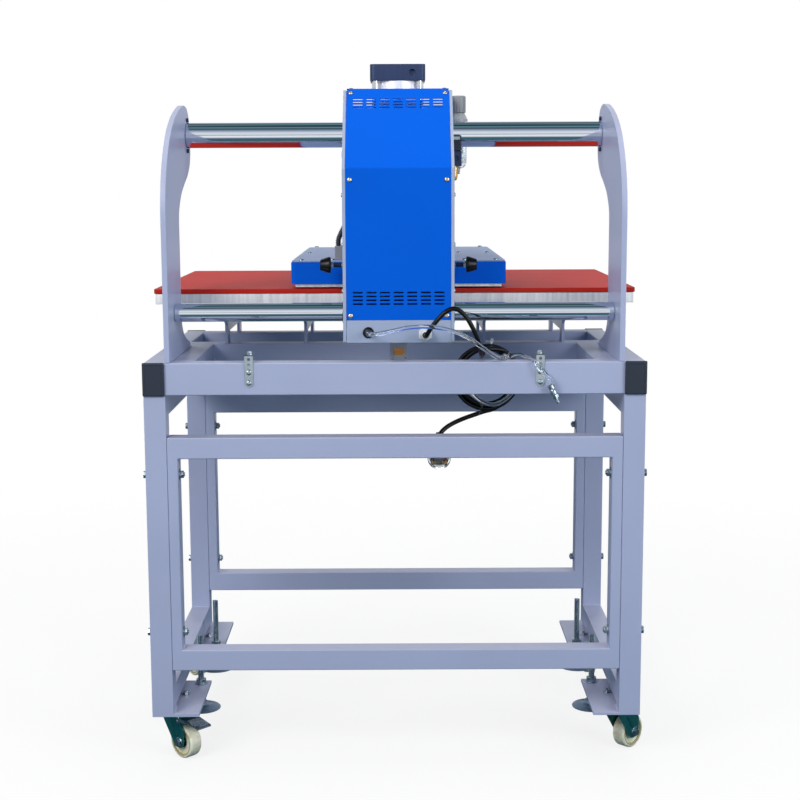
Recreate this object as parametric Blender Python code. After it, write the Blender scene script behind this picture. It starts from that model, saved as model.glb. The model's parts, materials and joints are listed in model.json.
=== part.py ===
"""Pneumatic two-station heat press on a wheeled stand: every sub-part as its own solid, in metres, +Z up.

X runs along the slide shafts, Y from the back of the stand to the operator, Z up from the floor.
Depths in this file are measured from the back face of the stand and turned into Y by centred().
"""

import math

import bmesh
import bpy
from mathutils import Matrix, Vector

GAP = 0.0003

# Stand
HALF_WIDTH = 0.4625
FRAME_DEPTH = 0.605
TUBE = 0.040
BEAM_HEIGHT = 0.060
LEG_FOOT = 0.106
FRAME_TOP = 0.776
BEAM_BOTTOM = FRAME_TOP - BEAM_HEIGHT
FOOT_PLATE = (0.0885, 0.195, 0.006)
RAIL_BOTTOM = 0.113
MIDDLE_BEAM = 0.335
SIDE_PLATE_INNER = 0.4125
SIDE_PLATE_THICK = 0.010
BRACE_LEVELS = (0.191, 0.597)
POST = 0.020

# Castors and levelling feet
CASTOR_X = 0.4325
CASTOR_DEPTH = 0.0805
WHEEL_RADIUS = 0.0325
WHEEL_WIDTH = 0.026
CASTOR_TRAIL = 0.033
FOOT_X = 0.3925
FOOT_DEPTH = 0.176
FOOT_UNDERSIDE = 0.055
STUD_RADIUS = 0.006
STUD_TOP = 0.209

# Slide shafts: depth, height, radius
UPPER_SHAFT = (0.300, 1.196, 0.025)
LOWER_SHAFT = (0.084, 0.862, 0.0175)
SHAFT_HALF = SIDE_PLATE_INNER - 0.0004

# Lower stations
STATION = 0.264
PLATEN_NEAR = 0.178
PLATEN_SIZE = (0.400, 0.600)
PLATEN_BOTTOM = 0.870
PLATEN_TOP = 0.890
PAD_TOP = 0.8995
PAD_MARGIN = 0.0025

# Carriage, which rests a little to the right of the middle
CARRIAGE_X = 0.008
CARRIAGE_HALF = 0.1025
CHEEK = 0.006
CARRIAGE_BACK = 0.020
CARRIAGE_BOTTOM = 0.810
FOLD_HEIGHT = 1.129
COVER_TOP = 1.2774
SLANT_DEPTH = 0.148
ARM_BOTTOM = 1.130
ARM_FRONT = 0.540
COLUMN_FRONT = 0.165
PRESS_DEPTH = 0.475
BRIDGE = (1.150, 1.162)
CAP_HALF = 0.057
CAP_LEVELS = (1.1625, 1.190, 1.310, 1.343)
BARREL_RADII = (0.050, 0.054)
ROD_RADIUS = 0.0125
GUIDE_X = 0.076
GUIDE_RADIUS = 0.010
GLAND_X = 0.049
GLAND_HEIGHT = 0.826
GLAND_END = -0.0055
HOSE_X = -0.056
HOSE_HEIGHT = 0.829
BUMPER = (0.120, 0.948)

# Head
HEAD_HALF = 0.208
HEAD_DEPTHS = (0.173, 0.777)
HEAD_LEVELS = (0.908, 0.950)
HEAT_PLATEN_LEVELS = (0.9015, 0.930)
LID_THICK = 0.003

# Cords: the leads' outer radii and the hanging coil's ring
CABLE_RADIUS = 0.00425
HOSE_RADIUS = 0.004
COIL_CENTRE = (0.1735, 0.7385)
COIL_RADII = (0.046, 0.066)
COIL_DEPTHS = (0.067, 0.097)

MIDDLE_DEPTH = (PLATEN_NEAR + PLATEN_SIZE[1] + PAD_MARGIN) / 2

MAINS_ROUTE = [
    (0.0570, -0.0060, 0.8260),
    (0.0570, -0.0150, 0.8260),
    (0.0590, -0.0240, 0.8290),
    (0.0640, -0.0295, 0.8380),
    (0.0740, -0.0320, 0.8520),
    (0.0910, -0.0330, 0.8700),
    (0.1090, -0.0320, 0.8770),
    (0.1270, -0.0310, 0.8650),
    (0.1420, -0.0280, 0.8410),
    (0.1525, -0.0200, 0.8160),
    (0.1575, -0.0040, 0.7970),
    (0.1600, 0.0140, 0.7835),
    (0.1600, 0.0320, 0.7815),
    (0.1600, 0.0480, 0.7850),
    (0.1600, 0.0580, 0.7870),
    (0.1600, 0.0665, 0.7870),
]
TAIL_ROUTE = [
    (0.1355, 0.0820, 0.6834),
    (0.1303, 0.0820, 0.6760),
    (0.1240, 0.0812, 0.6680),
    (0.1150, 0.0795, 0.6570),
    (0.1000, 0.0750, 0.6430),
    (0.0880, 0.0680, 0.6350),
    (0.0832, 0.0625, 0.6290),
    (0.0830, 0.0620, 0.6206),
]
HOSE_ROUTE = [
    (-0.0480, -0.0060, 0.8290),
    (-0.0480, -0.0150, 0.8290),
    (-0.0460, -0.0230, 0.8294),
    (-0.0380, -0.0300, 0.8308),
    (-0.0220, -0.0350, 0.8335),
    (0.0000, -0.0400, 0.8385),
    (0.0250, -0.0430, 0.8440),
    (0.0550, -0.0460, 0.8460),
    (0.0850, -0.0480, 0.8430),
    (0.1130, -0.0460, 0.8350),
    (0.1380, -0.0400, 0.8220),
    (0.1600, -0.0300, 0.8050),
    (0.1780, -0.0130, 0.7915),
    (0.1910, 0.0080, 0.7826),
    (0.2000, 0.0270, 0.7825),
    (0.2090, 0.0460, 0.7800),
    (0.2200, 0.0510, 0.7570),
    (0.2260, 0.0475, 0.7340),
    (0.2150, 0.0475, 0.7070),
    (0.1860, 0.0480, 0.6900),
    (0.1540, 0.0490, 0.7010),
    (0.1380, 0.0510, 0.7290),
    (0.1460, 0.0540, 0.7560),
    (0.1720, 0.0580, 0.7700),
    (0.2040, 0.0600, 0.7760),
    (0.2290, 0.0470, 0.7840),
    (0.2390, 0.0290, 0.7825),
    (0.2470, 0.0100, 0.7822),
    (0.2550, -0.0050, 0.7795),
    (0.2650, -0.0130, 0.7660),
    (0.2770, -0.0145, 0.7530),
    (0.2870, -0.0130, 0.7440),
    (0.2895, -0.0125, 0.7330),
    (0.2895, -0.0125, 0.7250),
]

FINISHES = {
    "frame_grey": ((0.42, 0.46, 0.62), 0.35, 0.0),
    "blue_paint": ((0.0, 0.13, 0.75), 0.45, 0.0),
    "bracket_grey": ((0.42, 0.46, 0.58), 0.45, 0.0),
    "chrome": ((0.80, 0.83, 0.88), 0.08, 1.0),
    "aluminium": ((0.75, 0.76, 0.78), 0.40, 1.0),
    "silicone_red": ((0.62, 0.03, 0.02), 0.60, 0.0),
    "zinc": ((0.62, 0.66, 0.72), 0.32, 1.0),
    "castor_teal": ((0.02, 0.27, 0.27), 0.35, 0.6),
    "nylon_cream": ((0.86, 0.84, 0.68), 0.45, 0.0),
    "black_plastic": ((0.03, 0.035, 0.05), 0.45, 0.0),
    "grey_plastic": ((0.45, 0.47, 0.50), 0.40, 0.0),
    "white_plastic": ((0.85, 0.86, 0.84), 0.40, 0.0),
    "red_plastic": ((0.70, 0.02, 0.02), 0.35, 0.0),
    "green_plastic": ((0.02, 0.45, 0.12), 0.35, 0.0),
    "black_rubber": ((0.02, 0.02, 0.025), 0.60, 0.0),
    "clear_plastic": ((0.75, 0.78, 0.80), 0.15, 0.0),
}

materials = {}
bodies = {}


def centred(depth):
    """World Y of a depth measured from the back face of the stand."""
    return depth - MIDDLE_DEPTH


def finish(name):
    if name not in materials:
        colour, roughness, metallic = FINISHES[name]
        material = bpy.data.materials.new(name)
        material.use_nodes = True
        shader = material.node_tree.nodes["Principled BSDF"]
        shader.inputs["Base Color"].default_value = (*colour, 1.0)
        shader.inputs["Roughness"].default_value = roughness
        shader.inputs["Metallic"].default_value = metallic
        material.diffuse_color = (*colour, 1.0)
        materials[name] = material
    return materials[name]


def body(name, origin, parent=None):
    """An empty on the joint's axis, which the body's pieces hang from."""
    empty = bpy.data.objects.new(name, None)
    bpy.context.scene.collection.objects.link(empty)
    empty["origin"] = origin
    if parent:
        empty.parent = bodies[parent]
        empty.location = Vector(origin) - Vector(bodies[parent]["origin"])
    else:
        empty.location = origin
    bodies[name] = empty


def piece(name, shape, material, owner="frame_body"):
    """Makes the named object from a bmesh in world coordinates, hung from its body's empty."""
    origin = Vector(bodies[owner]["origin"])
    bmesh.ops.translate(shape, vec=-origin, verts=shape.verts)
    bmesh.ops.recalc_face_normals(shape, faces=shape.faces)
    mesh = bpy.data.meshes.new(name)
    shape.to_mesh(mesh)
    shape.free()
    mesh.shade_smooth()
    mesh.set_sharp_from_angle(angle=math.radians(35))
    made = bpy.data.objects.new(name, mesh)
    bpy.context.scene.collection.objects.link(made)
    made.parent = bodies[owner]
    if material:
        mesh.materials.append(finish(material))
    return made


def boolean(target, shape, operation):
    """Adds or removes a helper shape, given in world coordinates."""
    owner = next(name for name, empty in bodies.items() if empty == target.parent)
    helper = piece(f"{target.name}_helper", shape, None, owner)
    helper.hide_render = True
    helper.display_type = "WIRE"
    modifier = target.modifiers.new(helper.name, "BOOLEAN")
    modifier.operation = operation
    modifier.solver = "EXACT"
    modifier.object = helper
    return target


def cut(target, shape):
    return boolean(target, shape, "DIFFERENCE")


def weld(target, shape):
    return boolean(target, shape, "UNION")


def block(x, depth, z):
    """A box from (low, high) pairs."""
    shape = bmesh.new()
    bmesh.ops.create_cube(shape, size=1.0)
    sizes = Vector((x[1] - x[0], depth[1] - depth[0], z[1] - z[0]))
    middle = Vector((sum(x) / 2, centred(sum(depth) / 2), sum(z) / 2))
    bmesh.ops.scale(shape, vec=sizes, verts=shape.verts)
    bmesh.ops.translate(shape, vec=middle, verts=shape.verts)
    return shape


def plate(outline, x):
    """A plate of constant thickness in X from an outline of (depth, height) points."""
    shape = bmesh.new()
    face = shape.faces.new([shape.verts.new((x[0], centred(d), z)) for d, z in outline])
    grown = bmesh.ops.extrude_face_region(shape, geom=[face])["geom"]
    risen = [item for item in grown if isinstance(item, bmesh.types.BMVert)]
    bmesh.ops.translate(shape, vec=(x[1] - x[0], 0, 0), verts=risen)
    return shape


def level_plate(outline, z):
    """A plate of constant thickness in Z from an outline of (x, depth) points."""
    shape = bmesh.new()
    face = shape.faces.new([shape.verts.new((x, centred(d), z[0])) for x, d in outline])
    grown = bmesh.ops.extrude_face_region(shape, geom=[face])["geom"]
    risen = [item for item in grown if isinstance(item, bmesh.types.BMVert)]
    bmesh.ops.translate(shape, vec=(0, 0, z[1] - z[0]), verts=risen)
    return shape


def turned(profile, centre, axis="Z", segments=24):
    """A turned solid. The profile's (radius, along) points run up the axis, which passes through centre (x, depth, z)."""
    shape = bmesh.new()
    closed_ring = min(radius for radius, _ in profile) > 0
    verts = [shape.verts.new((radius, 0, along)) for radius, along in profile]
    edges = [shape.edges.new(pair) for pair in zip(verts, verts[1:])]
    if closed_ring:
        edges.append(shape.edges.new((verts[-1], verts[0])))
    bmesh.ops.spin(
        shape, geom=verts + edges, axis=(0, 0, 1), angle=math.tau, steps=segments, use_merge=True
    )
    bmesh.ops.remove_doubles(shape, verts=shape.verts, dist=1e-6)
    turn = {"X": Matrix.Rotation(math.pi / 2, 4, "Y"), "Y": Matrix.Rotation(-math.pi / 2, 4, "X")}
    bmesh.ops.transform(shape, matrix=turn.get(axis, Matrix()), verts=shape.verts)
    x, depth, z = centre
    bmesh.ops.translate(shape, vec=(x, centred(depth), z), verts=shape.verts)
    return shape


def rod(radius, start, stop, centre, axis="Z", segments=24):
    """A cylinder; start and stop lie along the axis, measured from centre."""
    return turned([(0, start), (radius, start), (radius, stop), (0, stop)], centre, axis, segments)


def sleeve(inner, outer, start, stop, centre, axis="Z", segments=24):
    return turned(
        [(inner, start), (outer, start), (outer, stop), (inner, stop)], centre, axis, segments
    )


def smooth(points, steps, closed=False):
    """Points along a Catmull-Rom curve through the given ones."""
    found = []
    count = len(points)
    spans = count if closed else count - 1
    for index in range(spans):
        if closed:
            around = [Vector(points[(index + offset) % count]) for offset in (-1, 0, 1, 2)]
        else:
            ends = [min(max(index + offset, 0), count - 1) for offset in (-1, 0, 1, 2)]
            around = [Vector(points[end]) for end in ends]
        before, start, stop, after = around
        for step in range(steps):
            t = step / steps
            found.append(
                0.5
                * (
                    2 * start
                    + (stop - before) * t
                    + (2 * before - 5 * start + 4 * stop - after) * t**2
                    + (3 * start - before - 3 * stop + after) * t**3
                )
            )
    return found if closed else found + [Vector(points[-1])]


def tube(name, route, radius, material, steps=2):
    """A round cord along a smooth curve through the route's points."""
    curve = bpy.data.curves.new(name, "CURVE")
    curve.dimensions = "3D"
    curve.bevel_depth = radius
    curve.bevel_resolution = 2
    curve.use_fill_caps = True
    points = smooth(route, steps)
    spline = curve.splines.new("POLY")
    spline.points.add(len(points) - 1)
    origin = Vector(bodies["frame_body"]["origin"])
    for place, (x, depth, z) in zip(spline.points, points):
        place.co = (*(Vector((x, centred(depth), z)) - origin), 1.0)
    made = bpy.data.objects.new(name, curve)
    bpy.context.scene.collection.objects.link(made)
    made.parent = bodies["frame_body"]
    curve.materials.append(finish(material))
    return made


def both_ways(start, stop, side):
    """A (low, high) pair of X, mirrored to the left when side is -1."""
    return tuple(sorted((side * start, side * stop)))


def sides():
    return (("left", -1), ("right", 1))


def make_base_frame():
    outer, inner = HALF_WIDTH, SIDE_PLATE_INNER + SIDE_PLATE_THICK + GAP
    levels = (BEAM_BOTTOM, FRAME_TOP)
    overlap = 0.002
    cross_half = inner + overlap
    rear = block((-cross_half, cross_half), (0, TUBE), levels)
    base = piece("base_frame", rear, "frame_grey")
    for start in (MIDDLE_BEAM, FRAME_DEPTH - TUBE):
        weld(base, block((-cross_half, cross_half), (start, start + TUBE), levels))
    for _, side in sides():
        weld(base, block(both_ways(inner, outer, side), (0, FRAME_DEPTH), levels))
        inboard = SIDE_PLATE_INNER - GAP
        weld(
            base,
            block(
                both_ways(inboard - TUBE, inboard, side),
                (TUBE - overlap, MIDDLE_BEAM + overlap),
                levels,
            ),
        )


def make_end_frame(name, side):
    """Two legs, two rails and the two foot plates, welded."""
    outer, inner = HALF_WIDTH, HALF_WIDTH - TUBE
    leg_top = BEAM_BOTTOM - GAP
    plate_width, plate_length, plate_thick = FOOT_PLATE
    ends = ((0, TUBE), (FRAME_DEPTH - TUBE, FRAME_DEPTH))
    leg_levels = (LEG_FOOT - 0.002, leg_top)
    plate_levels = (LEG_FOOT - plate_thick, LEG_FOOT)
    frame = piece(name, block(both_ways(inner, outer, side), ends[0], leg_levels), "frame_grey")
    weld(frame, block(both_ways(inner, outer, side), ends[1], leg_levels))
    for bottom in (RAIL_BOTTOM, leg_top - TUBE):
        weld(
            frame,
            block(
                both_ways(inner, outer, side),
                (TUBE - 0.002, FRAME_DEPTH - TUBE + 0.002),
                (bottom, bottom + TUBE),
            ),
        )
    for depths in ((0, plate_length), (FRAME_DEPTH - plate_length, FRAME_DEPTH)):
        weld(
            frame,
            block(both_ways(outer - plate_width, outer, side), depths, plate_levels),
        )
    for depth in (FOOT_DEPTH, FRAME_DEPTH - FOOT_DEPTH):
        hole = rod(STUD_RADIUS + 0.001, 0.08, 0.13, (side * FOOT_X, depth, 0), segments=16)
        cut(frame, hole)


def make_brace(name, depths):
    """An upper and a lower beam joined by a post at each leg."""
    end = HALF_WIDTH - TUBE - GAP
    low, high = BRACE_LEVELS
    brace = piece(name, block((-end, end), depths, (low, low + TUBE)), "frame_grey")
    weld(brace, block((-end, end), depths, (high, high + TUBE)))
    for _, side in sides():
        weld(brace, block(both_ways(end - POST, end, side), depths, (low + TUBE - 0.002, high + 0.002)))


def side_plate_outline():
    """(depth, height) points round the side plate: a column that hooks forward over the upper shaft."""
    foot = BEAM_BOTTOM + 0.001
    rest = FRAME_TOP + GAP
    clear_of_head = HEAD_DEPTHS[0] - 0.005
    sweep = smooth(
        [(0.0, 1.000), (0.001, 1.062), (0.016, 1.112), (0.045, 1.156), (0.090, 1.196),
         (0.150, 1.226), (0.220, 1.246), (0.275, 1.2535), (0.320, 1.245), (0.346, 1.216),
         (0.352, 1.178), (0.340, 1.142), (0.305, 1.118), (0.255, 1.100), (0.208, 1.080),
         (0.177, 1.054), (clear_of_head, 1.031), (clear_of_head, 0.985), (clear_of_head, 0.930)],
        2,
    )
    flare = smooth(
        [(clear_of_head, 0.860), (0.174, 0.834), (0.197, 0.812), (0.240, 0.796), (0.275, 0.788)], 2
    )
    ends = [(0.285, 0.784), (0.285, foot), (TUBE + GAP, foot), (TUBE + GAP, rest), (0.0, rest)]
    return [tuple(point)[:2] for point in sweep + flare] + ends


def make_side_plate(name, side):
    x = both_ways(SIDE_PLATE_INNER, SIDE_PLATE_INNER + SIDE_PLATE_THICK, side)
    piece(name, plate(side_plate_outline(), x), "frame_grey")


def make_shafts():
    for name, (depth, height, radius) in (("upper_shaft", UPPER_SHAFT), ("lower_shaft", LOWER_SHAFT)):
        piece(name, rod(radius, -SHAFT_HALF, SHAFT_HALF, (0, depth, height), "X", 32), "chrome")


def make_station(label, side):
    """A lower platen with its silicone pad, carried by two upright plates under a top flange."""
    centre = side * STATION
    half = PLATEN_SIZE[0] / 2
    far = PLATEN_NEAR + PLATEN_SIZE[1]
    platen = block((centre - half, centre + half), (PLATEN_NEAR, far), (PLATEN_BOTTOM, PLATEN_TOP))
    piece(f"lower_platen_{label}", platen, "aluminium")
    pad = block(
        (centre - half - PAD_MARGIN, centre + half + PAD_MARGIN),
        (PLATEN_NEAR - PAD_MARGIN, far + PAD_MARGIN),
        (PLATEN_TOP + GAP, PAD_TOP),
    )
    piece(f"silicone_pad_{label}", pad, "silicone_red")
    flange = (PLATEN_BOTTOM - 0.006, PLATEN_BOTTOM - GAP)
    spread, thick = 0.081, 0.006
    depths = (0.240, 0.680)
    span = (centre - spread - thick, centre + spread + thick)
    support = piece(f"platen_support_{label}", block(span, depths, flange), "frame_grey")
    rest = FRAME_TOP + GAP
    front = FRAME_DEPTH - TUBE
    outline = [
        (MIDDLE_BEAM, rest), (MIDDLE_BEAM + TUBE, rest), (MIDDLE_BEAM + TUBE, 0.800),
        (front, 0.800), (front, rest), (FRAME_DEPTH, rest), (FRAME_DEPTH, 0.800),
        (depths[1], flange[0] - 0.006), (depths[1], flange[0] + 0.002), (depths[0], flange[0] + 0.002),
        (depths[0], flange[0] - 0.010), (MIDDLE_BEAM, 0.816),
    ]
    for offset in (-spread, spread):
        weld(support, plate(outline, (centre + offset - thick / 2, centre + offset + thick / 2)))


def make_frame():
    make_base_frame()
    make_brace("rear_brace", (0, TUBE))
    make_brace("front_brace", (FRAME_DEPTH - TUBE, FRAME_DEPTH))
    for label, side in sides():
        make_end_frame(f"end_frame_{label}", side)
        make_side_plate(f"side_plate_{label}", side)
        make_station(label, side)
    make_shafts()


def swung(shape, x, depth, angle):
    """Turns a castor shape, built trailing along +X, about its swivel axis."""
    pivot = Vector((x, centred(depth), 0))
    turn = Matrix.Translation(pivot) @ Matrix.Rotation(angle, 4, "Z") @ Matrix.Translation(-pivot)
    bmesh.ops.transform(shape, matrix=turn, verts=shape.verts)
    return shape


def make_castor(label, x, depth, trail_angle, braked):
    fork_owner, wheel_owner = f"castor_{label}_body", f"wheel_{label}_body"
    y = centred(depth)
    body(fork_owner, (x, y, 0.0), "frame_body")
    trail_x = x + CASTOR_TRAIL * math.cos(trail_angle)
    trail_y = y + CASTOR_TRAIL * math.sin(trail_angle)
    body(wheel_owner, (trail_x, trail_y, WHEEL_RADIUS), fork_owner)

    def turn(shape):
        return swung(shape, x, depth, trail_angle)

    head = turned(
        [(0, 0.082), (0.020, 0.082), (0.027, 0.090), (0.027, 0.0963), (0, 0.0963)],
        (x, depth, 0), segments=24,
    )
    fork = piece(f"castor_fork_{label}", turn(head), "castor_teal", fork_owner)
    leg_outline = [
        (-0.022, 0.084), (0.026, 0.084), (0.046, 0.058), (0.044, 0.030), (0.038, 0.023),
        (0.028, 0.023), (0.020, 0.032), (-0.010, 0.068),
    ]
    leg_inner, leg_outer = 0.0150, 0.0175
    for sign in (-1, 1):
        leg = bmesh.new()
        corners = [leg.verts.new((x + t, y + sign * leg_inner, z)) for t, z in leg_outline]
        grown = bmesh.ops.extrude_face_region(leg, geom=[leg.faces.new(corners)])["geom"]
        risen = [item for item in grown if isinstance(item, bmesh.types.BMVert)]
        bmesh.ops.translate(leg, vec=(0, sign * (leg_outer - leg_inner), 0), verts=risen)
        weld(fork, turn(leg))
    crown_half = (leg_inner + leg_outer) / 2
    crown = block((x - 0.020, x + 0.024), (depth - crown_half, depth + crown_half), (0.0800, 0.0832))
    weld(fork, turn(crown))
    axle_place = (x + CASTOR_TRAIL, depth, WHEEL_RADIUS)
    weld(fork, turn(rod(0.005, -0.021, 0.021, axle_place, "Y", 16)))

    half = WHEEL_WIDTH / 2
    rim = [
        (0.0053, -half), (0.011, -half), (0.013, -half + 0.004), (0.026, -half + 0.004),
        (0.028, -half), (0.0305, -half), (WHEEL_RADIUS, -half + 0.003),
        (WHEEL_RADIUS, half - 0.003), (0.0305, half), (0.028, half), (0.026, half - 0.004),
        (0.013, half - 0.004), (0.011, half), (0.0053, half),
    ]
    wheel = turned(rim, axle_place, "Y", 28)
    piece(f"castor_wheel_{label}", turn(wheel), "nylon_cream", wheel_owner)
    if braked:
        pivot_reach, pivot_height = 0.030, 0.0795
        pedal_owner = f"brake_{label}_body"
        pivot = (
            x + pivot_reach * math.cos(trail_angle), y + pivot_reach * math.sin(trail_angle), pivot_height
        )
        body(pedal_owner, pivot, fork_owner)
        pedal = bmesh.new()
        outline = [
            (0.0316, 0.0785), (0.0316, 0.0802), (0.052, 0.0802), (0.086, 0.0740),
            (0.089, 0.0700), (0.0875, 0.0690), (0.084, 0.0720), (0.052, 0.0785),
        ]
        corners = [pedal.verts.new((x + t, y - 0.018, z)) for t, z in outline]
        grown = bmesh.ops.extrude_face_region(pedal, geom=[pedal.faces.new(corners)])["geom"]
        risen = [item for item in grown if isinstance(item, bmesh.types.BMVert)]
        bmesh.ops.translate(pedal, vec=(0, 0.036, 0), verts=risen)
        piece(f"brake_pedal_{label}", turn(pedal), "zinc", pedal_owner)


def make_levelling_foot(label, x, depth):
    owner = f"foot_{label}_body"
    body(owner, (x, centred(depth), FOOT_UNDERSIDE), "frame_body")
    rise = FOOT_UNDERSIDE
    profile = [
        (0, rise), (0.038, rise), (0.038, rise + 0.003), (0.030, rise + 0.006),
        (0.014, rise + 0.010), (0.011, rise + 0.020), (STUD_RADIUS, rise + 0.021),
        (STUD_RADIUS, STUD_TOP), (0, STUD_TOP),
    ]
    piece(f"levelling_foot_{label}", turned(profile, (x, depth, 0)), "zinc", owner)


def make_running_gear():
    """Castors and levelling feet at the four corners. Angles give the way each castor trails."""
    trails = {
        "rear_left": math.radians(-43),
        "rear_right": math.radians(45),
        "front_left": math.radians(126),
        "front_right": math.radians(80),
    }
    braked = ("rear_left", "front_right")
    for end, castor_depth, foot_depth in (
        ("rear", CASTOR_DEPTH, FOOT_DEPTH),
        ("front", FRAME_DEPTH - CASTOR_DEPTH, FRAME_DEPTH - FOOT_DEPTH),
    ):
        for label, side in sides():
            corner = f"{end}_{label}"
            make_castor(corner, side * CASTOR_X, castor_depth, trails[corner], corner in braked)
            make_levelling_foot(corner, side * FOOT_X, foot_depth)


def cheek_outline():
    """(depth, height) points of a carriage cheek: an upright column with an arm over the platens."""
    return [
        (CARRIAGE_BACK, CARRIAGE_BOTTOM + 0.002), (COLUMN_FRONT - 0.020, CARRIAGE_BOTTOM + 0.002),
        (COLUMN_FRONT, CARRIAGE_BOTTOM + 0.022), (COLUMN_FRONT, ARM_BOTTOM - 0.060),
        (COLUMN_FRONT + 0.010, ARM_BOTTOM - 0.022), (COLUMN_FRONT + 0.045, ARM_BOTTOM),
        (ARM_FRONT, ARM_BOTTOM), (ARM_FRONT, COVER_TOP - 0.003), (SLANT_DEPTH, COVER_TOP - 0.003),
        (CARRIAGE_BACK, FOLD_HEIGHT - 0.002),
    ]


def make_carriage_frame():
    inner, outer = CARRIAGE_HALF - CHEEK, CARRIAGE_HALF
    frame = piece(
        "carriage_frame",
        plate(cheek_outline(), (CARRIAGE_X - outer, CARRIAGE_X - inner)),
        "bracket_grey", "carriage_body",
    )
    weld(frame, plate(cheek_outline(), (CARRIAGE_X + inner, CARRIAGE_X + outer)))
    across = (CARRIAGE_X - inner - 0.002, CARRIAGE_X + inner + 0.002)
    floor_level = CARRIAGE_BOTTOM + 0.0025
    weld(frame, block(across, (0.030, 0.140), (floor_level, floor_level + 0.004)))
    weld(frame, block(across, (0.156, 0.162), (0.840, 1.080)))
    weld(frame, block(across, (0.380, ARM_FRONT - 0.001), BRIDGE))
    weld(frame, block(across, (ARM_FRONT - 0.007, ARM_FRONT - 0.001), (1.155, 1.262)))
    for depth, height, radius in (UPPER_SHAFT, LOWER_SHAFT):
        cut(frame, rod(radius + 0.0015, -0.13, 0.13, (CARRIAGE_X, depth, height), "X", 32))
    press = (CARRIAGE_X, PRESS_DEPTH, 0)
    cut(frame, rod(ROD_RADIUS + 0.001, 1.140, 1.175, press))
    for sign in (-1, 1):
        place = (CARRIAGE_X + sign * GUIDE_X, PRESS_DEPTH, 0)
        cut(frame, rod(GUIDE_RADIUS + 0.0006, 1.140, 1.175, place))


def make_rear_cover():
    """One bent sheet: upright back, slanted upper back and a top as far as the cylinder."""
    thick = 0.002
    outline = [
        (CARRIAGE_BACK, 0.852), (CARRIAGE_BACK, FOLD_HEIGHT), (SLANT_DEPTH, COVER_TOP),
        (0.410, COVER_TOP), (0.410, COVER_TOP - thick),
        (SLANT_DEPTH + 0.0008, COVER_TOP - thick), (CARRIAGE_BACK + thick, FOLD_HEIGHT - 0.0008),
        (CARRIAGE_BACK + thick, 0.852),
    ]
    half = CARRIAGE_HALF - CHEEK - 0.0005
    cover = plate(outline, (CARRIAGE_X - half, CARRIAGE_X + half))
    piece("rear_cover", cover, "blue_paint", "carriage_body")


def make_connection_panel():
    """The lower panel, with the short stub that the air hose pushes onto."""
    half = CARRIAGE_HALF - CHEEK - 0.0005
    x = (CARRIAGE_X - half, CARRIAGE_X + half)
    back = (CARRIAGE_BACK, CARRIAGE_BACK + 0.0025)
    panel = piece(
        "connection_panel", block(x, back, (CARRIAGE_BOTTOM, 0.8515)), "bracket_grey", "carriage_body"
    )
    place = (CARRIAGE_X + HOSE_X, 0, HOSE_HEIGHT)
    weld(panel, rod(HOSE_RADIUS, GLAND_END, CARRIAGE_BACK + 0.001, place, "Y", 16))
    gland = turned(
        [
            (0, GLAND_END), (0.0075, GLAND_END), (0.0105, GLAND_END + 0.005), (0.0125, 0.006),
            (0.013, 0.0065), (0.013, CARRIAGE_BACK - GAP), (0, CARRIAGE_BACK - GAP),
        ],
        (CARRIAGE_X + GLAND_X, 0, GLAND_HEIGHT), "Y", 18,
    )
    piece("cable_gland", gland, "white_plastic", "carriage_body")


def make_bushings():
    half = CARRIAGE_HALF - CHEEK - 0.0005
    for name, (depth, height, radius), outer in (
        ("upper_bushing", UPPER_SHAFT, 0.0375), ("lower_bushing", LOWER_SHAFT, 0.0275),
    ):
        centre = (CARRIAGE_X, depth, height)
        shape = sleeve(radius + 0.0006, outer, -half, half, centre, "X", 32)
        piece(name, shape, "zinc", "carriage_body")


def make_cylinder():
    """The air cylinder over the platens: two square caps, a barrel and four tie rods."""
    low, cap_top, barrel_top, top = CAP_LEVELS
    x = (CARRIAGE_X - CAP_HALF, CARRIAGE_X + CAP_HALF)
    depths = (PRESS_DEPTH - CAP_HALF, PRESS_DEPTH + CAP_HALF)
    centre = (CARRIAGE_X, PRESS_DEPTH, 0)
    piece("cylinder_top_cap", block(x, depths, (barrel_top, top)), "black_plastic", "carriage_body")
    barrel = sleeve(*BARREL_RADII, cap_top + GAP, barrel_top - GAP, centre, segments=40)
    piece("cylinder_barrel", barrel, "aluminium", "carriage_body")
    cap = piece("cylinder_bottom_cap", block(x, depths, (low, cap_top)), "black_plastic", "carriage_body")
    cut(cap, rod(ROD_RADIUS + 0.0005, low - 0.01, cap_top + 0.01, centre))
    for across in (-0.0455, 0.0455):
        for along in (-0.0455, 0.0455):
            place = (CARRIAGE_X + across, PRESS_DEPTH + along, 0)
            weld(cap, rod(0.005, cap_top - 0.002, barrel_top - GAP, place, segments=12))


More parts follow.
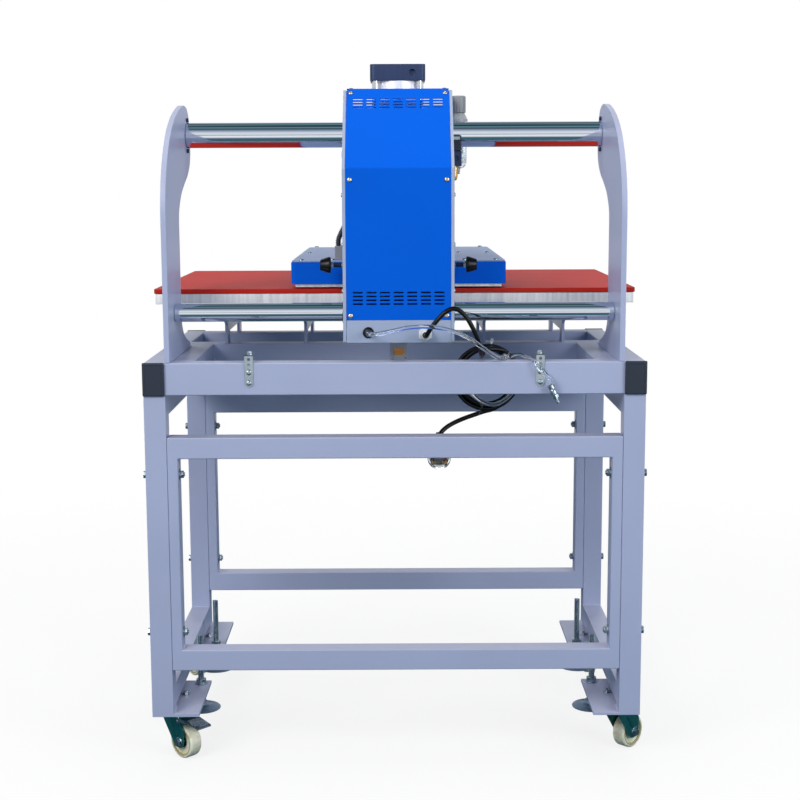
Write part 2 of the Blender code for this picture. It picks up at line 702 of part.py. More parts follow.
def make_air_unit():
    """Solenoid valve, filter regulator and its turning knob on the right cheek."""
    cheek = CARRIAGE_X + CARRIAGE_HALF + GAP
    valve = block((cheek, cheek + 0.0215), (0.232, 0.2705), (1.133, 1.195))
    valve = piece("solenoid_valve", valve, "black_plastic", "carriage_body")
    silencer = (cheek + 0.0085, 0.250, 0)
    weld(valve, rod(0.0065, 1.104, 1.135, silencer, segments=12))
    x, depth = CARRIAGE_X + 0.1236, 0.3735
    profile = [
        (0, 1.118), (0.004, 1.118), (0.004, 1.128), (0.012, 1.131), (0.0165, 1.138),
        (0.0165, 1.196), (0.0185, 1.200), (0.0185, 1.228), (0.0165, 1.232), (0.012, 1.241), (0, 1.241),
    ]
    regulator = turned(profile, (x, depth, 0), segments=24)
    unit = piece("filter_regulator", regulator, "grey_plastic", "carriage_body")
    weld(unit, block((cheek, x), (depth - 0.010, depth + 0.010), (1.204, 1.224)))
    owner = "knob_body"
    body(owner, (x, centred(depth), 1.2415), "carriage_body")
    knob = turned(
        [(0, 1.2415), (0.0145, 1.2415), (0.0145, 1.272), (0.012, 1.2755), (0, 1.2755)],
        (x, depth, 0), segments=24,
    )
    piece("regulator_knob", knob, "grey_plastic", owner)


def make_controls():
    """Control box at the operator's end with its stop button, start button and push handle."""
    x = (CARRIAGE_X - CARRIAGE_HALF, CARRIAGE_X + CARRIAGE_HALF)
    back = ARM_FRONT + 0.0005
    outline = [(back, 1.122), (0.640, 1.122), (0.640, 1.190), (0.600, 1.262), (back, 1.262)]
    box = piece("control_box", plate(outline, x), "blue_paint", "carriage_body")
    stop_place = (x[0], 0.598, 1.161)
    cut(box, rod(0.0120, -0.010, 0.014, stop_place, "X", 20))
    start_place = (CARRIAGE_X + 0.045, 0.640, 1.158)
    cut(box, rod(0.0115, -0.012, 0.010, start_place, "Y", 20))

    body("stop_button_body", (stop_place[0], centred(stop_place[1]), stop_place[2]), "carriage_body")
    profile = [
        (0, 0.006), (0.0105, 0.006), (0.0105, -0.011), (0.016, -0.0115), (0.016, -0.016),
        (0.011, -0.020), (0, -0.021),
    ]
    mushroom = turned(profile, stop_place, "X", 24)
    piece("emergency_stop_button", mushroom, "red_plastic", "stop_button_body")
    body("start_button_body", (start_place[0], centred(start_place[1]), start_place[2]), "carriage_body")
    button = rod(0.0105, -0.006, 0.005, start_place, "Y", 20)
    piece("start_button", button, "green_plastic", "start_button_body")

    handle = rod(0.008, -0.083, 0.083, (CARRIAGE_X, 0.690, 1.140), "X", 16)
    handle = piece("carriage_handle", handle, "black_plastic", "carriage_body")
    for sign in (-1, 1):
        weld(handle, rod(0.007, 0.6403, 0.690, (CARRIAGE_X + sign * 0.070, 0, 1.140), "Y", 16))


def make_stops():
    """Rubber stops that meet the side plates at each station, and the station sensor underneath."""
    depth, height = BUMPER
    for label, side in sides():
        face = CARRIAGE_X + side * (CARRIAGE_HALF + GAP)
        along = [
            (0, 0.0), (0.0045, 0.0), (0.0045, 0.026), (0.0155, 0.026), (0.0095, 0.0455), (0, 0.0455),
        ]
        profile = [(radius, side * reach) for radius, reach in along]
        bumper = turned(profile, (face, depth, height), "X", 20)
        piece(f"stop_bumper_{label}", bumper, "black_rubber", "carriage_body")
    across = (CARRIAGE_X - 0.016, CARRIAGE_X + 0.016)
    top = CARRIAGE_BOTTOM + 0.0025 - GAP
    sensor = piece(
        "station_sensor", block(across, (0.108, 0.1095), (0.768, top)), "zinc", "carriage_body"
    )
    weld(sensor, block((across[0] + 0.003, across[1] - 0.003), (0.109, 0.122), (0.774, 0.806)))


def make_carriage():
    make_carriage_frame()
    make_rear_cover()
    make_connection_panel()
    make_bushings()
    make_cylinder()
    make_air_unit()
    make_controls()
    make_stops()


def rounded_rectangle(x, depths, radius, corner_points=4):
    """Outline of (x, depth) points with round corners."""
    points = []
    corners = (
        (x[1] - radius, depths[1] - radius, 0), (x[0] + radius, depths[1] - radius, 90),
        (x[0] + radius, depths[0] + radius, 180), (x[1] - radius, depths[0] + radius, 270),
    )
    for centre_x, centre_depth, start in corners:
        for step in range(corner_points + 1):
            angle = math.radians(start + 90 * step / corner_points)
            points.append((centre_x + radius * math.cos(angle), centre_depth + radius * math.sin(angle)))
    return points


def make_head():
    """Heated upper platen in its open-bottomed housing, with a lid, a piston rod and guide posts."""
    x = (CARRIAGE_X - HEAD_HALF, CARRIAGE_X + HEAD_HALF)
    wall = 0.0045
    inner_x = (x[0] + wall, x[1] - wall)
    inner_depths = (HEAD_DEPTHS[0] + wall, HEAD_DEPTHS[1] - wall)
    shell = level_plate(rounded_rectangle(x, HEAD_DEPTHS, 0.010), HEAD_LEVELS)
    housing = piece("head_housing", shell, "blue_paint", "head_body")
    cut(housing, block(inner_x, inner_depths, (HEAD_LEVELS[0] - 0.01, HEAD_LEVELS[1] + 0.01)))
    lid_bottom = HEAD_LEVELS[1] + GAP
    lid_top = lid_bottom + LID_THICK
    inset = 0.0015
    lid_outline = rounded_rectangle(
        (x[0] + inset, x[1] - inset), (HEAD_DEPTHS[0] + inset, HEAD_DEPTHS[1] - inset), 0.012
    )
    lid = level_plate(lid_outline, (lid_bottom, lid_top))
    piece("head_lid", lid, "bracket_grey", "head_body")
    margin = 0.0035
    platen = block(
        (inner_x[0] + margin, inner_x[1] - margin),
        (inner_depths[0] + margin, inner_depths[1] - margin),
        HEAT_PLATEN_LEVELS,
    )
    piece("heat_platen", platen, "aluminium", "head_body")

    centre = (CARRIAGE_X, PRESS_DEPTH, 0)
    base = lid_top + GAP
    piston = CAP_LEVELS[1] + 0.006
    bore = BARREL_RADII[0] - 0.0006
    profile = [
        (0, base), (0.032, base), (0.032, base + 0.008), (ROD_RADIUS, base + 0.009),
        (ROD_RADIUS, piston), (bore, piston), (bore, piston + 0.020), (0, piston + 0.020),
    ]
    piece("piston_rod", turned(profile, centre, segments=40), "chrome", "head_body")
    for label, side in sides():
        place = (CARRIAGE_X + side * GUIDE_X, PRESS_DEPTH, 0)
        post = [(0, base), (0.018, base), (0.018, base + 0.006), (GUIDE_RADIUS, base + 0.007),
                (GUIDE_RADIUS, 1.190), (0, 1.190)]
        piece(f"guide_post_{label}", turned(post, place, segments=20), "chrome", "head_body")


def make_cords():
    """Mains lead and air hose where they hang at the back, with the lead's spare length in a tied coil."""
    tube("mains_cable", MAINS_ROUTE, CABLE_RADIUS, "black_rubber")
    tube("mains_tail", TAIL_ROUTE, CABLE_RADIUS, "black_rubber")
    x, z = COIL_CENTRE
    coil = sleeve(*COIL_RADII, *COIL_DEPTHS, (x, 0, z), "Y", 28)
    piece("mains_coil", coil, "black_rubber")
    plug = block((0.061, 0.105), (0.046, 0.078), (0.566, 0.620))
    piece("mains_plug", plug, "clear_plastic")
    tube("air_hose", HOSE_ROUTE, HOSE_RADIUS, "clear_plastic")
    end_x, end_depth, end_z = HOSE_ROUTE[-1]
    coupling = turned(
        [
            (0, end_z - 0.026), (0.0035, end_z - 0.026), (0.0035, end_z - 0.016),
            (0.0065, end_z - 0.014), (0.0065, end_z - 2 * GAP), (0, end_z - 2 * GAP),
        ],
        (end_x, end_depth, 0), segments=16,
    )
    piece("hose_coupling", coupling, "zinc")


def main():
    for old in list(bpy.data.objects):
        bpy.data.objects.remove(old)
    press = (CARRIAGE_X, centred(PRESS_DEPTH))
    body("frame_body", (0.0, 0.0, 0.0))
    body("carriage_body", (CARRIAGE_X, centred(UPPER_SHAFT[0]), UPPER_SHAFT[1]), "frame_body")
    body("head_body", (*press, HEAD_LEVELS[1]), "carriage_body")
    make_frame()
    make_running_gear()
    make_carriage()
    make_head()
    make_cords()


main()
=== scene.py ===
"""Looks of a two-station pneumatic heat press on a wheeled stand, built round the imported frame.

X runs along the slide shafts, Y from the back of the stand to the operator, Z up from the floor.
Depths are measured from the back face of the stand, and y_of() turns one into Y.
"""

import json
import math

import bmesh
import bpy
from mathutils import Matrix, Vector, noise


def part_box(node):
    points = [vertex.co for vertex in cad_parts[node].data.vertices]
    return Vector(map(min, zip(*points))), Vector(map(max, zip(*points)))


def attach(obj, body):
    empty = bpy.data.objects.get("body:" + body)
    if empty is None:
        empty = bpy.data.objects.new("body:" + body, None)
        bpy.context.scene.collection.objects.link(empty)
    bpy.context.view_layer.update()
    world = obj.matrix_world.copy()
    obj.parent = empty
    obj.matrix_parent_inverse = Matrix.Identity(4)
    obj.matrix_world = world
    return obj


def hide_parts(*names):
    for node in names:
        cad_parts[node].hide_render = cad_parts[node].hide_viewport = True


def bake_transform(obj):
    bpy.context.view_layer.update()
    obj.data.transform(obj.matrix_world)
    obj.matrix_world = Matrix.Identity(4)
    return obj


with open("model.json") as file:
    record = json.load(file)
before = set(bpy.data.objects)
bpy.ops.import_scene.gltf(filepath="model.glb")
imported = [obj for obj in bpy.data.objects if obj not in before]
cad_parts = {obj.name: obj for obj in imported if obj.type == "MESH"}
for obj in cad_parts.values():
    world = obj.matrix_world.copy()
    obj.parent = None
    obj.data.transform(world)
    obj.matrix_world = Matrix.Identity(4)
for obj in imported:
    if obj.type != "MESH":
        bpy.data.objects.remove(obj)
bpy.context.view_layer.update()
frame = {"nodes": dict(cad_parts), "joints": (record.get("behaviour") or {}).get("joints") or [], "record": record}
nodes = frame["nodes"]
joints = {joint["name"]: joint for joint in frame["joints"]}

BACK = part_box("base_frame")[0].y
HALF_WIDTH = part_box("base_frame")[1].x
FRAME_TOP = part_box("base_frame")[1].z
BEAM_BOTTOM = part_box("base_frame")[0].z
FRAME_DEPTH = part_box("base_frame")[1].y - BACK
TUBE = 0.040
CARRIAGE_X = (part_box("carriage_frame")[0].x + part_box("carriage_frame")[1].x) / 2
CHEEK_LEFT, CHEEK_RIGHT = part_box("carriage_frame")[0].x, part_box("carriage_frame")[1].x
CORNERS = ("rear_left", "rear_right", "front_left", "front_right")
SIDES = (("left", -1), ("right", 1))
ALONG = {"X": Vector((1, 0, 0)), "Y": Vector((0, 1, 0)), "Z": Vector((0, 0, 1))}


def y_of(depth):
    return BACK + depth


# ---------------------------------------------------------------- camera and light


def set_camera():
    """Stands behind the machine, a little above the platens."""
    data = bpy.data.cameras.new("camera")
    data.lens, data.sensor_width = 67.84, 36.0
    data.clip_start, data.clip_end = 0.05, 60.0
    camera = bpy.data.objects.new("camera", data)
    bpy.context.scene.collection.objects.link(camera)
    pitch, yaw, roll = math.radians(90 - 8.285), -0.0011, -0.0042
    turn = Matrix.Rotation(yaw, 4, "Z") @ Matrix.Rotation(pitch, 4, "X") @ Matrix.Rotation(roll, 4, "Z")
    camera.matrix_world = Matrix.Translation((0.0066, y_of(-2.745), 1.106)) @ turn
    bpy.context.scene.camera = camera


def softbox(name, place, target, size, power, colour=(1.0, 1.0, 1.0), mirrored=True):
    data = bpy.data.lights.new(name, "AREA")
    data.shape, data.size, data.size_y = "RECTANGLE", size[0], size[1]
    data.energy, data.color = power, colour
    lamp = bpy.data.objects.new(name, data)
    bpy.context.scene.collection.objects.link(lamp)
    lamp.visible_glossy = mirrored
    aim = (Vector(target) - Vector(place)).to_track_quat("-Z", "Y")
    lamp.matrix_world = Matrix.Translation(place) @ aim.to_matrix().to_4x4()


def light_studio():
    """White cove, two large softboxes behind the machine, one overhead and a weak fill in front."""
    middle = (0.0, 0.0, 0.75)
    softbox("key_softbox", (-1.9, -2.9, 2.5), middle, (1.6, 1.6), 70, (1.0, 0.985, 0.96))
    softbox("fill_softbox", (2.4, -2.5, 1.7), middle, (1.4, 1.8), 44, (0.95, 0.98, 1.0))
    softbox("top_softbox", (0.0, 0.2, 3.2), middle, (2.6, 1.8), 19, mirrored=False)
    softbox("front_softbox", (0.4, 3.2, 2.0), middle, (2.2, 1.6), 26, (0.96, 0.98, 1.0), False)


def studio_world():
    """White to the eye and an even light on paint; metal sees lit and dark bands, as in a studio."""
    world = bpy.data.worlds.new("studio")
    world.use_nodes = True
    bpy.context.scene.world = world
    tree = world.node_tree
    place = tree.nodes.new("ShaderNodeTexCoord")
    split = tree.nodes.new("ShaderNodeSeparateXYZ")
    ramp = tree.nodes.new("ShaderNodeValToRGB")
    level = tree.nodes.new("ShaderNodeMapRange")
    level.inputs["From Min"].default_value = -1.0
    tree.links.new(place.outputs["Generated"], split.inputs[0])
    tree.links.new(split.outputs["Z"], level.inputs["Value"])
    tree.links.new(level.outputs[0], ramp.inputs[0])
    bands = [
        (0.00, (0.02, 0.06, 0.08)), (0.46, (0.03, 0.09, 0.11)), (0.505, (0.42, 0.48, 0.52)),
        (0.55, (0.98, 1.0, 1.0)), (0.68, (0.92, 0.95, 1.0)), (0.80, (0.42, 0.50, 0.62)),
        (0.93, (0.03, 0.05, 0.07)), (0.97, (0.20, 0.38, 0.42)), (1.00, (0.02, 0.04, 0.05)),
    ]
    while len(ramp.color_ramp.elements) < len(bands):
        ramp.color_ramp.elements.new(0.5)
    for element, (position, colour) in zip(ramp.color_ramp.elements, bands):
        element.position, element.color = position, (*colour, 1.0)
    rays = tree.nodes.new("ShaderNodeLightPath")
    seen = tree.nodes["Background"]
    mirrored, even = tree.nodes.new("ShaderNodeBackground"), tree.nodes.new("ShaderNodeBackground")
    seen.inputs["Color"].default_value = (1.0, 1.0, 1.0, 1.0)
    seen.inputs["Strength"].default_value = 1.0
    even.inputs["Color"].default_value = (0.93, 0.96, 1.0, 1.0)
    even.inputs["Strength"].default_value = 0.50
    tree.links.new(ramp.outputs["Color"], mirrored.inputs["Color"])
    mirrored.inputs["Strength"].default_value = 0.9
    unlit, chosen = tree.nodes.new("ShaderNodeMixShader"), tree.nodes.new("ShaderNodeMixShader")
    tree.links.new(rays.outputs["Is Glossy Ray"], unlit.inputs[0])
    tree.links.new(even.outputs[0], unlit.inputs[1])
    tree.links.new(mirrored.outputs[0], unlit.inputs[2])
    tree.links.new(rays.outputs["Is Camera Ray"], chosen.inputs[0])
    tree.links.new(unlit.outputs[0], chosen.inputs[1])
    tree.links.new(seen.outputs[0], chosen.inputs[2])
    tree.links.new(chosen.outputs[0], tree.nodes["World Output"].inputs["Surface"])
    bpy.context.scene.view_settings.view_transform = "Standard"


def lay_floor():
    """A pale floor that brightens into the white cove, and throws only a little light back up."""
    shape = bmesh.new()
    bmesh.ops.create_circle(shape, cap_ends=True, segments=96, radius=26.0)
    mesh = bpy.data.meshes.new("studio_floor")
    shape.to_mesh(mesh)
    shape.free()
    floor = bpy.data.objects.new("studio_floor", mesh)
    bpy.context.scene.collection.objects.link(floor)
    paint = bpy.data.materials.new("floor_paint")
    paint.use_nodes = True
    tree = paint.node_tree
    shader = tree.nodes["Principled BSDF"]
    shader.inputs["Base Color"].default_value = (0.94, 0.94, 0.94, 1.0)
    shader.inputs["Roughness"].default_value = 0.9
    shader.inputs["Specular IOR Level"].default_value = 0.1
    place = tree.nodes.new("ShaderNodeTexCoord")
    reach = tree.nodes.new("ShaderNodeVectorMath")
    reach.operation = "LENGTH"
    tree.links.new(place.outputs["Object"], reach.inputs[0])
    fade = tree.nodes.new("ShaderNodeMapRange")
    fade.inputs["From Min"].default_value, fade.inputs["From Max"].default_value = 0.7, 2.6
    fade.inputs["To Min"].default_value = 0.80
    fade.interpolation_type = "SMOOTHSTEP"
    tree.links.new(reach.outputs["Value"], fade.inputs["Value"])
    bright, ground = tree.nodes.new("ShaderNodeEmission"), tree.nodes.new("ShaderNodeBsdfDiffuse")
    ground.inputs["Color"].default_value = (0.05, 0.12, 0.15, 1.0)
    horizon = tree.nodes.new("ShaderNodeMapRange")
    horizon.inputs["From Min"].default_value, horizon.inputs["From Max"].default_value = 2.2, 4.0
    tree.links.new(reach.outputs["Value"], horizon.inputs["Value"])
    far, shown = tree.nodes.new("ShaderNodeMixShader"), tree.nodes.new("ShaderNodeMixShader")
    mirrored = tree.nodes.new("ShaderNodeMixShader")
    rays = tree.nodes.new("ShaderNodeLightPath")
    tree.links.new(fade.outputs[0], far.inputs[0])
    tree.links.new(shader.outputs[0], far.inputs[1])
    tree.links.new(bright.outputs[0], far.inputs[2])
    tree.links.new(rays.outputs["Is Camera Ray"], shown.inputs[0])
    tree.links.new(math_node(tree, "MULTIPLY", horizon.outputs[0], rays.outputs["Is Glossy Ray"]), mirrored.inputs[0])
    tree.links.new(ground.outputs[0], mirrored.inputs[1])
    tree.links.new(bright.outputs[0], mirrored.inputs[2])
    tree.links.new(mirrored.outputs[0], shown.inputs[1])
    tree.links.new(far.outputs[0], shown.inputs[2])
    tree.links.new(shown.outputs[0], tree.nodes["Material Output"].inputs["Surface"])
    mesh.materials.append(paint)


# ---------------------------------------------------------------- finishes


def new_group(name, inputs, outputs):
    """An empty shader group; inputs are (name, socket type, value)."""
    group = bpy.data.node_groups.new(name, "ShaderNodeTree")
    for label, kind, value in inputs:
        socket = group.interface.new_socket(name=label, in_out="INPUT", socket_type=kind)
        socket.default_value = value
    for label, kind in outputs:
        group.interface.new_socket(name=label, in_out="OUTPUT", socket_type=kind)
    return group, group.nodes.new("NodeGroupInput"), group.nodes.new("NodeGroupOutput")


def math_node(tree, operation, first, second):
    node = tree.nodes.new("ShaderNodeMath")
    node.operation = operation
    for socket, value in zip(node.inputs, (first, second)):
        if isinstance(value, (int, float)):
            socket.default_value = value
        else:
            tree.links.new(value, socket)
    return node.outputs[0]


def texture(tree, kind, vector, scale, detail=2.0, roughness=0.5):
    node = tree.nodes.new(kind)
    tree.links.new(vector, node.inputs["Vector"])
    if isinstance(scale, (int, float)):
        node.inputs["Scale"].default_value = scale
    else:
        tree.links.new(scale, node.inputs["Scale"])
    if "Detail" in node.inputs:
        node.inputs["Detail"].default_value = detail
        node.inputs["Roughness"].default_value = roughness
    return node


def make_grain_group():
    """Fine surface grain over a slow unevenness, both from Object coordinates."""
    group, given, made = new_group(
        "surface grain",
        [("Vector", "NodeSocketVector", (0, 0, 0)), ("Grain Scale", "NodeSocketFloat", 900.0),
         ("Patch Scale", "NodeSocketFloat", 9.0)],
        [("Height", "NodeSocketFloat"), ("Patch", "NodeSocketFloat")],
    )
    fine = texture(group, "ShaderNodeTexNoise", given.outputs["Vector"], given.outputs["Grain Scale"], 3.0)
    slow = texture(group, "ShaderNodeTexNoise", given.outputs["Vector"], given.outputs["Patch Scale"], 4.0)
    group.links.new(fine.outputs["Fac"], made.inputs["Height"])
    group.links.new(slow.outputs["Fac"], made.inputs["Patch"])
    return group


def make_brushed_group():
    """Long fine scratches: noise squeezed along one direction."""
    group, given, made = new_group(
        "brushed lines",
        [("Vector", "NodeSocketVector", (0, 0, 0)), ("Squeeze", "NodeSocketVector", (1, 1, 1))],
        [("Height", "NodeSocketFloat"), ("Streak", "NodeSocketFloat")],
    )
    squeezed = group.nodes.new("ShaderNodeVectorMath")
    squeezed.operation = "MULTIPLY"
    group.links.new(given.outputs["Vector"], squeezed.inputs[0])
    group.links.new(given.outputs["Squeeze"], squeezed.inputs[1])
    fine = texture(group, "ShaderNodeTexNoise", squeezed.outputs[0], 1.0, 4.0, 0.7)
    broad = texture(group, "ShaderNodeTexNoise", squeezed.outputs[0], 0.13, 2.0)
    group.links.new(fine.outputs["Fac"], made.inputs["Height"])
    group.links.new(broad.outputs["Fac"], made.inputs["Streak"])
    return group


def make_dust_and_top_sheen_group():
    """A mask on faces that look up, in soft patches: settled dust on paint and plastics, a painted highlight on the
    silicone's top.
    """
    group, given, made = new_group(
        "settled dust",
        [("Vector", "NodeSocketVector", (0, 0, 0)), ("Amount", "NodeSocketFloat", 0.3)],
        [("Mask", "NodeSocketFloat")],
    )
    facing = group.nodes.new("ShaderNodeNewGeometry")
    split = group.nodes.new("ShaderNodeSeparateXYZ")
    group.links.new(facing.outputs["Normal"], split.inputs[0])
    patch = texture(group, "ShaderNodeTexNoise", given.outputs["Vector"], 38.0, 5.0, 0.65)
    spread = math_node(group, "MULTIPLY", patch.outputs["Fac"], given.outputs["Amount"])
    upward = math_node(group, "MAXIMUM", split.outputs["Z"], 0.0)
    group.links.new(math_node(group, "MULTIPLY", spread, upward), made.inputs["Mask"])
    return group


# The upward mask carries settled dust on paint and plastics, and a painted highlight on the silicone pads.
GRAIN, BRUSHED, DUST_AND_TOP_SHEEN = make_grain_group(), make_brushed_group(), make_dust_and_top_sheen_group()
DUST_TINT = (0.60, 0.57, 0.58)


def start_material(name, colour, roughness, metallic=0.0, **settings):
    """A Principled material; settings are further constant sockets, with _ for a space."""
    material = bpy.data.materials.new(name)
    material.use_nodes = True
    tree = material.node_tree
    shader = tree.nodes["Principled BSDF"]
    shader.inputs["Base Color"].default_value = (*colour, 1.0)
    shader.inputs["Roughness"].default_value = roughness
    shader.inputs["Metallic"].default_value = metallic
    for label, value in settings.items():
        shader.inputs[label.replace("_", " ")].default_value = value
    place = tree.nodes.new("ShaderNodeTexCoord")
    return material, tree, shader, place.outputs["Object"]


def use_group(tree, group, **values):
    node = tree.nodes.new("ShaderNodeGroup")
    node.node_tree = group
    for label, value in values.items():
        socket = node.inputs[label.replace("_", " ")]
        if hasattr(value, "links"):
            tree.links.new(value, socket)
        else:
            socket.default_value = value
    return node


def mix_colour(tree, factor, first, second):
    node = tree.nodes.new("ShaderNodeMix")
    node.data_type = "RGBA"
    tree.links.new(factor, node.inputs[0])
    for socket, value in ((node.inputs[6], first), (node.inputs[7], second)):
        if hasattr(value, "links"):
            tree.links.new(value, socket)
        else:
            socket.default_value = (*value, 1.0)
    return node.outputs[2]


def spread_value(tree, factor, low, high):
    node = tree.nodes.new("ShaderNodeMapRange")
    tree.links.new(factor, node.inputs["Value"])
    node.inputs["To Min"].default_value, node.inputs["To Max"].default_value = low, high
    return node.outputs[0]


def bump(tree, shader, height, distance, strength=1.0):
    node = tree.nodes.new("ShaderNodeBump")
    node.inputs["Distance"].default_value = distance
    node.inputs["Strength"].default_value = strength
    tree.links.new(height, node.inputs["Height"])
    tree.links.new(node.outputs["Normal"], shader.inputs["Normal"])


def shade(colour, factor):
    return tuple(min(1.0, part * factor) for part in colour)


def painted(name, colour, roughness, dust=0.45, grain=0.00006, **settings):
    """Powder coat: fine orange peel, slow unevenness of tone and a little dust on top."""
    material, tree, shader, place = start_material(name, colour, roughness, **settings)
    peel = use_group(tree, GRAIN, Vector=place, Grain_Scale=700.0, Patch_Scale=6.0)
    dust_and_top_sheen = use_group(tree, DUST_AND_TOP_SHEEN, Vector=place, Amount=dust)
    tone = mix_colour(tree, peel.outputs["Patch"], shade(colour, 0.93), shade(colour, 1.07))
    dust_and_top_sheen_tone = mix_colour(tree, dust_and_top_sheen.outputs["Mask"], tone, DUST_TINT)
    tree.links.new(dust_and_top_sheen_tone, shader.inputs["Base Color"])
    rough = spread_value(tree, peel.outputs["Patch"], roughness - 0.06, roughness + 0.08)
    tree.links.new(rough, shader.inputs["Roughness"])
    bump(tree, shader, peel.outputs["Height"], grain)
    return material


def metal(name, colour, roughness, squeeze, streak=0.10, depth=0.00002, metallic=1.0, **settings):
    """Bare or plated metal with fine lines along the direction that isn't squeezed."""
    material, tree, shader, place = start_material(name, colour, roughness, metallic, **settings)
    lines = use_group(tree, BRUSHED, Vector=place, Squeeze=squeeze)
    patch = use_group(tree, GRAIN, Vector=place, Grain_Scale=400.0, Patch_Scale=14.0)
    tone = mix_colour(tree, lines.outputs["Streak"], shade(colour, 1 - streak), shade(colour, 1 + streak))
    tree.links.new(tone, shader.inputs["Base Color"])
    rough = spread_value(tree, patch.outputs["Patch"], roughness * 0.7, roughness * 1.35)
    tree.links.new(rough, shader.inputs["Roughness"])
    bump(tree, shader, lines.outputs["Height"], depth)
    return material


def plated(name, colour, second, roughness, metallic=1.0):
    """Passivated zinc: two tints that drift into each other, with a fine crystalline grain; the castors' teal tints are
    a painted reflection.
    """
    material, tree, shader, place = start_material(name, colour, roughness, metallic)
    patch = use_group(tree, GRAIN, Vector=place, Grain_Scale=1500.0, Patch_Scale=60.0)
    tone = mix_colour(tree, patch.outputs["Patch"], colour, second)
    tree.links.new(tone, shader.inputs["Base Color"])
    rough = spread_value(tree, patch.outputs["Height"], roughness * 0.75, roughness * 1.4)
    tree.links.new(rough, shader.inputs["Roughness"])
    bump(tree, shader, patch.outputs["Height"], 0.00002)
    return material


def moulded(name, colour, roughness, grain=0.00003, dust=0.12, **settings):
    """Moulded plastic or rubber with a fine spark-eroded grain."""
    material, tree, shader, place = start_material(name, colour, roughness, **settings)
    skin = use_group(tree, GRAIN, Vector=place, Grain_Scale=1800.0, Patch_Scale=25.0)
    dust_and_top_sheen = use_group(tree, DUST_AND_TOP_SHEEN, Vector=place, Amount=dust)
    tone = mix_colour(tree, skin.outputs["Patch"], shade(colour, 0.88), shade(colour, 1.12))
    dust_and_top_sheen_tone = mix_colour(tree, dust_and_top_sheen.outputs["Mask"], tone, DUST_TINT)
    tree.links.new(dust_and_top_sheen_tone, shader.inputs["Base Color"])
    rough = spread_value(tree, skin.outputs["Patch"], roughness - 0.05, roughness + 0.07)
    tree.links.new(rough, shader.inputs["Roughness"])
    bump(tree, shader, skin.outputs["Height"], grain)
    return material


def silicone_skin(name, colour):
    """Red silicone sheet: matte, faint cloth print from its curing, and a painted highlight: faces that look up are
    mixed towards a paler red.
    """
    material, tree, shader, place = start_material(
        name, colour, 0.60, Specular_IOR_Level=0.12
    )
    skin = use_group(tree, GRAIN, Vector=place, Grain_Scale=260.0, Patch_Scale=11.0)
    dust_and_top_sheen = use_group(tree, DUST_AND_TOP_SHEEN, Vector=place, Amount=0.04)
    print_x = tree.nodes.new("ShaderNodeTexWave")
    print_y = tree.nodes.new("ShaderNodeTexWave")
    for wave, direction in ((print_x, "X"), (print_y, "Y")):
        wave.bands_direction = direction
        wave.inputs["Scale"].default_value = 210.0
        wave.inputs["Distortion"].default_value = 0.6
        tree.links.new(place, wave.inputs["Vector"])
    weave = math_node(tree, "MULTIPLY", print_x.outputs["Fac"], print_y.outputs["Fac"])
    height = math_node(tree, "ADD", weave, skin.outputs["Height"])
    tone = mix_colour(tree, skin.outputs["Patch"], shade(colour, 0.9), shade(colour, 1.1))
    # Painted highlight: the mask of upward faces turns the pad's top a paler red, standing in for light falling on it.
    dust_and_top_sheen_tone = mix_colour(tree, dust_and_top_sheen.outputs["Mask"], tone, (0.70, 0.33, 0.30))
    tree.links.new(dust_and_top_sheen_tone, shader.inputs["Base Color"])
    rough = spread_value(tree, skin.outputs["Patch"], 0.50, 0.64)
    tree.links.new(rough, shader.inputs["Roughness"])
    bump(tree, shader, height, 0.00008)
    return material


def tyre_nylon(name, colour):
    """Cream nylon that has picked up grime in blotches."""
    material, tree, shader, place = start_material(
        name, colour, 0.42, Subsurface_Weight=0.08, Subsurface_Scale=0.004
    )
    skin = use_group(tree, GRAIN, Vector=place, Grain_Scale=900.0, Patch_Scale=70.0)
    grime = spread_value(tree, skin.outputs["Patch"], -1.1, 1.5)
    tone = mix_colour(tree, grime, colour, (0.52, 0.44, 0.24))
    tree.links.new(tone, shader.inputs["Base Color"])
    tree.links.new(spread_value(tree, skin.outputs["Patch"], 0.32, 0.56), shader.inputs["Roughness"])
    bump(tree, shader, skin.outputs["Height"], 0.00004)
    return material


def clear_skin(name, colour, roughness):
    """Clear plastic: plain transmission, with faint waviness in its surface."""
    material, tree, shader, place = start_material(
        name, colour, roughness, Transmission_Weight=1.0, IOR=1.45
    )
    skin = use_group(tree, GRAIN, Vector=place, Grain_Scale=350.0, Patch_Scale=120.0)
    tone = mix_colour(tree, skin.outputs["Patch"], shade(colour, 0.94), shade(colour, 1.04))
    tree.links.new(tone, shader.inputs["Base Color"])
    bump(tree, shader, skin.outputs["Patch"], 0.0002, 0.5)
    return material


